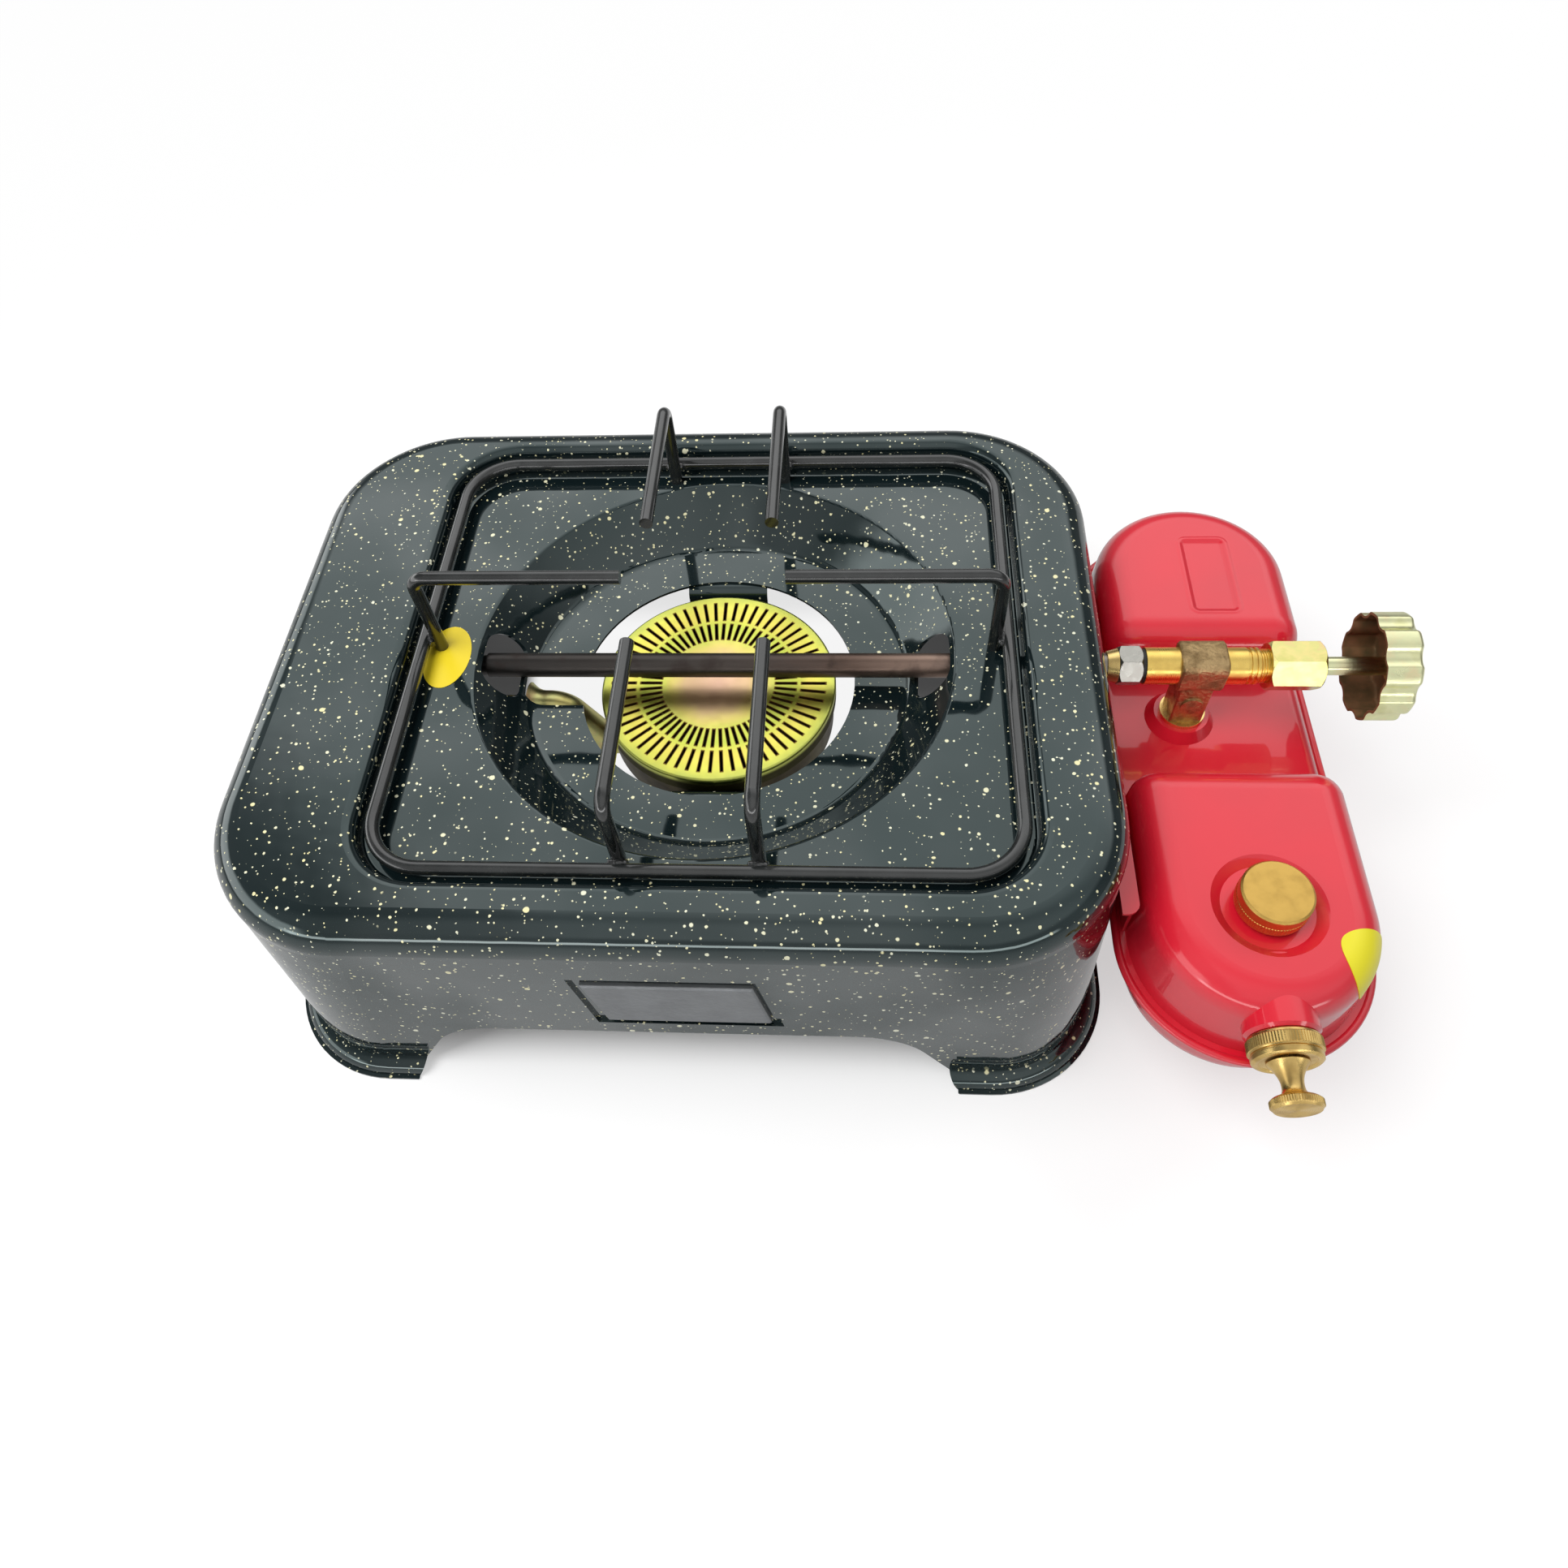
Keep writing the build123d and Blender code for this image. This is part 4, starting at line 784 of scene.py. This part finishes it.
class STOVE_OT_tank(bpy.types.Operator):
    """Paint the tank and its bracket, and turn and knurl its caps and pump knob"""

    bl_idname = "stove.tank"
    bl_label = "Tank"

    def execute(self, context):
        s = context.scene.stove_tank
        red = paint_finish(s)
        dress(red, "tank_upper_shell", "tank_lower_shell", "tank_bracket")
        ochre, grime = (0.72, 0.46, 0.12), (0.44, 0.27, 0.07)
        aged = brass_finish("aged_brass", ochre, grime, 0.34, 0.30, None, 0.03 * MM, 0.4 * MM)
        lathe = brass_finish("lathe_brass", (0.80, 0.56, 0.20), (0.38, 0.23, 0.07), 0.27, 0.5, Y_AXIS)
        steel = steel_finish("bright_steel", (0.62, 0.62, 0.61), 0.28, 4 * MM)
        dress(aged, "filler_cap", "filler_neck")
        dress(lathe, "pump_cap", "pump_knob")
        dress(steel, "plunger_rod", "pump_cylinder")
        dress(plain_finish("cork_seal", (0.03, 0.022, 0.018), 0.7), "filler_gasket")
        dress(plain_finish("leather", (0.20, 0.09, 0.035), 0.62, size=0.6 * MM), "plunger_cup")
        self.cap_ribs(s, aged)
        self.pump_cap(s, lathe)
        self.knob(s, lathe)
        add_piece("plaque_rim", self.plaque_rim(), red, "stove", 60, close_rows=True)
        return {"FINISHED"}

    def cap_ribs(self, s, finish):
        """Band of fine ribs round the filler cap."""
        low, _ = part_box("filler_cap")
        outline = [
            (0.5, 12.6, 0), (0.7, 12.95, 0), (1.0, 12.98, 1),
            (4.3, 12.98, 1), (4.6, 12.95, 0), (4.8, 12.6, 0),
        ]
        points = turned_profile(middle("filler_cap"), Z_AXIS, 1, low.z, outline, s.cap_teeth, RIB_DEPTH)
        add_piece("filler_cap_ribs", points, finish, "cap", 20, close_rows=True)

    def plaque_rim(self):
        """Soft rim pressed round the plain plaque on the rear dome, its sizes in mm.

        A cosine bump, lower on its inner side, is carried round a rectangle with round
        corners. Each point of the path is a corner's centre plus the corner radius along a
        direction that turns once round, and the bump's points move in and out along it.
        """
        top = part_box("tank_upper_shell")[1].z
        middle_x = middle("filler_neck")[X_AXIS] + 5.5 * MM
        middle_y = middle("burner_cap")[Y_AXIS] + 62.0 * MM
        radius, half_x, half_y = 3.0, 10.0, 22.0
        half_width, rise, sink, base = 2.1, 0.55, 0.75, -1.0
        steps, over, under = 9, 15, 4
        turn = (np.arange(4)[:, None] + np.linspace(0, 1, steps)[None, :]).ravel() * TURN / 4
        sign_x = np.repeat([1, -1, -1, 1], steps)
        sign_y = np.repeat([1, 1, -1, -1], steps)
        crown = np.linspace(-half_width, half_width, over)
        across = np.concatenate([crown, np.linspace(1.6, -1.6, under)])
        swell = rise * (1 + np.cos(np.pi * crown / half_width)) / 2
        dip = -sink * (1 - np.sin(np.pi * crown / (2 * half_width))) / 2
        height = np.concatenate([swell + dip, np.full(under, base)])
        reach = radius + across[None, :]
        x = sign_x[:, None] * (half_x - radius) + reach * np.cos(turn)[:, None]
        y = sign_y[:, None] * (half_y - radius) + reach * np.sin(turn)[:, None]
        z = np.broadcast_to(height[None, :], x.shape)
        return np.stack([middle_x + x * MM, middle_y + y * MM, top + z * MM], -1)

    def pump_cap(self, s, finish):
        """Stepped cap of the pump, knurled round its wide band."""
        _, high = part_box("pump_cap")
        centre = middle("pump_cap")
        outline = rounded([
            (0.0, 9.15, 0), (0.0, 11.7, 0), (0.7, 12.35, 0), (1.5, 12.45, 0), (1.7, 12.68, 1),
            (5.6, 12.68, 1), (5.8, 12.45, 0), (6.3, 12.35, 0), (6.5, 11.75, 0), (7.0, 11.75, 0),
            (7.2, 12.3, 0), (8.7, 12.2, 0), (9.5, 11.3, 0), (9.5, 10.2, 0), (8.9, 9.6, 0),
            (8.9, 3.3, 0), (6.9, 3.3, 0), (6.9, 9.15, 0),
        ], {1: 0.4, 12: 0.5, 13: 0.4})
        points = turned_profile(centre, Y_AXIS, -1, high.y, outline, s.cap_teeth, KNURL_DEPTH)
        add_piece(
            "knurled_pump_cap", points, finish, "stove", 20,
            close_rows=True, replaces=("pump_cap",),
        )

    def knob(self, s, finish):
        """Pump knob turned in one piece: trumpet neck, ribbed rim and ringed face.

        The neck's radius falls with the square of the distance from its foot to the waist and
        rises again to the rim, and the face carries small cosine rings of its radius. Sizes
        are in mm, and lengths run from the knob's foot.
        """
        _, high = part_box("pump_knob")
        neck_length, waist, foot, top = 11.8, 3.8, 7.4, 5.2
        face_length, face_slope, ring_height, ring_pitch = 16.56, 0.012, 0.05, 0.8
        t = np.linspace(0, 1, 22)
        fall = waist + (foot - waist) * np.clip(1 - t / 0.66, 0, 1) ** 2
        rise = (top - waist) * np.clip((t - 0.72) / 0.28, 0, 1) ** 2
        neck = [(neck_length * a, b, 0) for a, b in zip(t, fall + rise)]
        rim = rounded([
            (neck_length, 6.6, 0), (12.5, 8.2, 0), (13.1, 8.62, 0), (13.2, 8.66, 1), (15.3, 8.66, 1),
            (15.4, 8.62, 0), (16.2, 8.1, 0),
        ], {1: 0.5})
        radii = np.linspace(7.9, 0.25, 40)
        rings = ring_height * (1 - np.cos(radii * TURN / ring_pitch))
        face = [(face_length - ring - face_slope * r, r, 0) for r, ring in zip(radii, rings)]
        outline = neck + rim + face
        centre = middle("pump_knob")
        points = turned_profile(centre, Y_AXIS, -1, high.y, outline, s.knob_teeth, KNURL_DEPTH)
        add_piece(
            "turned_pump_knob", points, finish, "pump", 24,
            poles=True, replaces=("pump_knob",),
        )


class STOVE_OT_stickers(bpy.types.Operator):
    """Lay the two plain yellow stickers on the recess floor and the tank"""

    bl_idname = "stove.stickers"
    bl_label = "Stickers"

    def execute(self, context):
        film = self.film(tuple(context.scene.stove_tank.label))
        around = 72
        rings = np.linspace(0.02, 1, 14)[:, None]
        angle = np.arange(around)[None, :] * TURN / around
        for name, points in (
            ("recess_sticker", self.flat(rings, angle)),
            ("tank_sticker", self.wrapped(rings, angle)),
        ):
            add_piece(name, points, film, "stove", 40, poles=True)
        return {"FINISHED"}

    def film(self, colour):
        """Yellow film, a little warmer on the sticker at the left, in the recess."""
        f = Finish("sticker_film")
        x, _, _ = f.axes(f.place())
        cloud = f.noise(f.place(), 8 * MM, 2.0)
        warm = [colour[0], 0.86 * colour[1], colour[2]]
        return f.done(f.mix(x > 0.0, warm, colour), 0.28 + 0.08 * cloud)

    def flat(self, rings, angle):
        """Oval that lies on the recess floor beside the bowl, its underside sunk in the floor."""
        burner = middle("burner_cap")
        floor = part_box("grate_finger_left")[0].z
        from_burner_x, from_burner_y = -111.5 * MM, -4.0 * MM
        half_x, half_y = 9.8 * MM, 16.5 * MM
        thickness, stand = 0.5 * MM, 0.16 * MM
        x = burner[X_AXIS] + from_burner_x + half_x * rings * np.cos(angle)
        y = burner[Y_AXIS] + from_burner_y + half_y * rings * np.sin(angle)
        top = np.stack([x, y, np.full(x.shape, floor + stand)], -1)
        base = top[::-1].copy()
        base[..., Z_AXIS] -= thickness
        return np.concatenate([top, base])

    def wrapped(self, rings, angle):
        """Oval laid over the tank's front shoulder.

        One way it goes round the dome's upright axis. The other way it climbs the drafted
        wall as a straight line, follows the shoulder's quarter circle and runs in over the top.
        """
        low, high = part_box("tank_upper_shell")
        axis = middle("filler_neck")
        flange, bend = 3.4 * MM, 13.0 * MM
        wall = (high.x - low.x) / 2 - flange
        draft = np.tan(np.radians(6.0))
        turn_z = high.z - bend
        middle_climb, half_climb = 8.0 * MM, 15.5 * MM
        middle_around, half_around = np.radians(-31.0), 14.0 * MM
        climb = middle_climb + half_climb * rings * np.sin(angle)
        around = middle_around + half_around * rings * np.cos(angle) / wall
        shell = wall - draft * (turn_z - low.z)
        swing = np.clip(climb / bend, 0, TURN / 4)
        inward = np.clip(climb - bend * TURN / 4, 0, None)
        z = np.where(climb < 0, turn_z + climb, turn_z + bend * np.sin(swing))
        curved = shell - bend + bend * np.cos(swing) - inward
        out = np.where(climb < 0, shell - draft * climb, curved)
        layers = []
        for stand, order in ((0.25 * MM, 1), (-0.4 * MM, -1)):
            reach = out + stand * np.cos(swing)
            x = axis[X_AXIS] + reach * np.cos(around)
            y = axis[Y_AXIS] + reach * np.sin(around)
            layers.append(np.stack([x, y, z + stand * np.sin(swing)], -1)[::order])
        return np.concatenate(layers)


# Lamps, in metres
MAIN_LAMP_PLACE, MAIN_LAMP_SIZE = (-0.55, -0.25, 1.25), 0.9
SIDE_LAMP_PLACE, SIDE_LAMP_SIZE = (0.95, 0.75, 1.05), 0.8

# Camera: its place in metres, its pitch, yaw and roll in degrees, and its focal length and the
# width of its sensor in mm
CAMERA_PLACE = (0.01616, -0.27641, 0.45842)
CAMERA_ANGLES = (56.4037, -6.9671, -5.3256)
CAMERA_LENS, SENSOR_WIDTH = 25.109, 36.0

# Oval patch of light on the floor: its middle from the burner's, the reach where it ends and
# where it is full, its depth as a share of its width, and the power that rounds it
PATCH_X, PATCH_Y = -23 * MM, 98 * MM
PATCH_OUTSIDE, PATCH_INSIDE = 101 * MM, 90 * MM
PATCH_FLATNESS = 0.92
PATCH_POWER = 3.0

# Strengths of the room's light: from its wall, more towards the front, from the ceiling, the
# window and the strip, and on matt surfaces
WALL_LIGHT, FRONT_LIGHT = 0.16, 0.22
CEILING_LIGHT, WINDOW_LIGHT, STRIP_LIGHT = 1.27, 1.8, 4.0
SOFT_LIGHT = 0.36


class STOVE_OT_stage(bpy.types.Operator):
    """Set the floor, the lamps, the world and the camera"""

    bl_idname = "stove.stage"
    bl_label = "Stage"

    def execute(self, context):
        s = context.scene.stove_stage
        scene = context.scene
        half = 8.0
        corners = [(-half, -half, 0), (half, -half, 0), (half, half, 0), (-half, half, 0)]
        mesh = bpy.data.meshes.new("floor")
        mesh.from_pydata(corners, [], [(0, 1, 2, 3)])
        floor = bpy.data.objects.new("floor", mesh)
        scene.collection.objects.link(floor)
        mesh.materials.append(self.floor_finish(tuple(s.floor)))
        self.lamp("main_lamp", MAIN_LAMP_PLACE, MAIN_LAMP_SIZE, s.key_power)
        self.lamp("side_lamp", SIDE_LAMP_PLACE, SIDE_LAMP_SIZE, s.fill_power)
        self.world(scene)
        self.camera(scene)
        scene.view_settings.view_transform = "Standard"
        return {"FINISHED"}

    def floor_finish(self, colour):
        """Pale floor that keeps a soft shadow and is lifted towards white for camera rays.

        The lift is small under the stove, which is painted shade, but for an oval patch, a painted pool
        of light where light would fall through the bowl. Further back under the stove the floor's colour
        is darkened as a painted shadow. The distance to the oval's middle is the cube root of the sum of
        two cubed distances.
        """
        f = Finish("floor_card")
        x, y, _ = f.axes(f.place())
        low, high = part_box("body_shell")
        burner = middle("burner_cap")
        under = 1.0
        for place, start, end in ((x, low.x, high.x), (y, low.y, high.y)):
            reach = f.maths("ABSOLUTE", place - (start + end) / 2)
            half = (end - start) / 2
            under = f.ease(reach, half, half - 30 * MM) * under
        side = f.maths("ABSOLUTE", x - (burner[X_AXIS] + PATCH_X))
        back = f.maths("ABSOLUTE", y - (burner[Y_AXIS] + PATCH_Y)) / PATCH_FLATNESS
        distance = (side**PATCH_POWER + back**PATCH_POWER) ** (1 / PATCH_POWER)
        lit = f.ease(distance, PATCH_OUTSIDE, PATCH_INSIDE)
        dark = under * (1.0 - lit)
        far = f.ease((x * x + y * y) ** 0.5, 0.35, 0.85)
        # Glow for camera rays: painted shade under the stove, a painted pool of light in the oval patch,
        # white far away.
        share = 0.55 - 0.50 * dark + 0.35 * under * lit + 0.42 * far
        # Painted shadow: further back under the stove the floor's colour falls to near black.
        painted_shadow = dark * f.ease(y, burner[Y_AXIS] + 40 * MM, burner[Y_AXIS] + 75 * MM)
        f.done(f.mix(0.85 * painted_shadow, colour, (0.03, 0.03, 0.035)), 0.9)
        f.shader.inputs["Specular IOR Level"].default_value = 0.0
        seen, glossy = f.node("ShaderNodeLightPath", {}, {}, ["Is Camera Ray", "Is Glossy Ray"])
        glow = f.tree.nodes.new("ShaderNodeEmission")
        f.feed(glow.inputs["Color"], f.mix(glossy, (1.0, 1.0, 1.0), (0.52, 0.52, 0.52)))
        blend = f.tree.nodes.new("ShaderNodeMixShader")
        f.feed(blend.inputs[0], seen * share + glossy * 0.75)
        f.tree.links.new(f.shader.outputs["BSDF"], blend.inputs[1])
        f.tree.links.new(glow.outputs["Emission"], blend.inputs[2])
        f.tree.links.new(blend.outputs["Shader"], f.output.inputs["Surface"])
        return f.material

    def lamp(self, name, place, size, power):
        """Square area lamp that faces the stove and isn't mirrored in it."""
        light = bpy.data.lights.new(name, "AREA")
        light.shape = "SQUARE"
        light.size = size
        light.energy = power
        made = bpy.data.objects.new(name, light)
        bpy.context.scene.collection.objects.link(made)
        made.location = place
        made.rotation_mode = "QUATERNION"
        made.rotation_quaternion = (-made.location).to_track_quat("-Z", "Y")
        made.visible_glossy = False

    def world(self, scene):
        """Soft white room: white to the camera and dim to matt surfaces.

        Gloss and glass mirror a dim wall below a bright ceiling that fades towards the front
        and has a dark corner at the left. A window at the left and a low strip in front are
        mirrored as soft bright lines.
        """
        world = bpy.data.worlds.new("soft_room")
        scene.world = world
        world.use_nodes = True
        w = Nodes(world.node_tree)
        names = ["Is Camera Ray", "Is Glossy Ray", "Is Transmission Ray"]
        seen, glossy, glass = w.node("ShaderNodeLightPath", {}, {}, names)
        right, away, up = w.axes(w.node("ShaderNodeTexCoord", {}, {}, "Generated"))
        corner = w.ease(right + 0.9 * away, 0.04, -0.12) * w.ease(right, -0.15, -0.40)
        ceiling = w.ease(up, 0.38, 0.58) * (0.32 + 0.68 * w.ease(away, -0.05, 0.75))
        window = w.ease(right, -0.58, -0.72) * w.ease(up, 0.04, 0.12) * w.ease(up, 0.52, 0.40)
        strip = w.ease(away, -0.55, -0.70) * w.ease(up, 0.09, 0.13) * w.ease(up, 0.25, 0.21)
        room = WALL_LIGHT + FRONT_LIGHT * w.ease(away, 0.1, -0.4)
        room = room + CEILING_LIGHT * ceiling * (1.0 - 0.90 * corner)
        room = room + WINDOW_LIGHT * window + STRIP_LIGHT * strip
        mirrored = w.maths("MAXIMUM", glossy, glass)
        rest = 1.0 - seen - mirrored
        back = w.tree.nodes.new("ShaderNodeBackground")
        w.feed(back.inputs["Color"], (1.0, 1.0, 1.0, 1.0))
        w.feed(back.inputs["Strength"], seen + mirrored * room + rest * SOFT_LIGHT)
        output = w.tree.nodes.new("ShaderNodeOutputWorld")
        w.tree.links.new(back.outputs["Background"], output.inputs["Surface"])

    def camera(self, scene):
        """Camera where the photograph was taken from: turned by yaw, tipped by pitch, then rolled."""
        data = bpy.data.cameras.new("photo_camera")
        data.sensor_width = SENSOR_WIDTH
        data.lens = CAMERA_LENS
        data.clip_start = 10 * MM
        made = bpy.data.objects.new("photo_camera", data)
        scene.collection.objects.link(made)
        pitch, yaw, roll = np.radians(CAMERA_ANGLES)
        forward = np.array([np.sin(yaw) * np.cos(pitch), np.cos(yaw) * np.cos(pitch), -np.sin(pitch)])
        level = np.array([np.cos(yaw), -np.sin(yaw), 0.0])
        upright = np.cross(level, forward)
        right = np.cos(roll) * level + np.sin(roll) * upright
        up = np.cos(roll) * upright - np.sin(roll) * level
        matrix = np.eye(4)
        matrix[:3, :3] = np.stack([right, up, -forward], -1)
        matrix[:3, 3] = CAMERA_PLACE
        made.matrix_world = Matrix(matrix.tolist())
        scene.camera = made


class STOVE_PT_panel(bpy.types.Panel):
    """Sizes and colours of the stove's finishes, with a button for each group"""

    bl_idname = "STOVE_PT_panel"
    bl_label = "Petrol stove"
    bl_space_type = "VIEW_3D"
    bl_region_type = "UI"
    bl_category = "Stove"

    def draw(self, context):
        for settings, operators in GROUPS:
            box = self.layout.box()
            group = getattr(context.scene, settings)
            for name in group.__annotations__:
                box.prop(group, name)
            for operator in operators:
                box.operator(operator)


GROUPS = (
    ("stove_body", ("stove.body", "stove.grate")),
    ("stove_burner", ("stove.burner", "stove.valve")),
    ("stove_tank", ("stove.tank", "stove.stickers")),
    ("stove_stage", ("stove.stage",)),
)
SETTINGS = {
    "stove_body": StoveBodySettings, "stove_burner": BurnerSettings,
    "stove_tank": TankSettings, "stove_stage": StageSettings,
}
CLASSES = (
    *SETTINGS.values(), STOVE_OT_body, STOVE_OT_grate, STOVE_OT_burner, STOVE_OT_valve,
    STOVE_OT_tank, STOVE_OT_stickers, STOVE_OT_stage, STOVE_PT_panel,
)


def register():
    for made in CLASSES:
        bpy.utils.register_class(made)
    for name, settings in SETTINGS.items():
        setattr(bpy.types.Scene, name, PointerProperty(type=settings))


def unregister():
    for name in SETTINGS:
        delattr(bpy.types.Scene, name)
    for made in reversed(CLASSES):
        bpy.utils.unregister_class(made)


def main():
    register()
    for start in ("Cube", "Light", "Camera"):
        if start in bpy.data.objects:
            bpy.data.objects.remove(bpy.data.objects[start])
    bpy.ops.stove.body()
    bpy.ops.stove.grate()
    bpy.ops.stove.burner()
    bpy.ops.stove.valve()
    bpy.ops.stove.tank()
    bpy.ops.stove.stickers()
    bpy.ops.stove.stage()


if __name__ == "__main__":
    main()
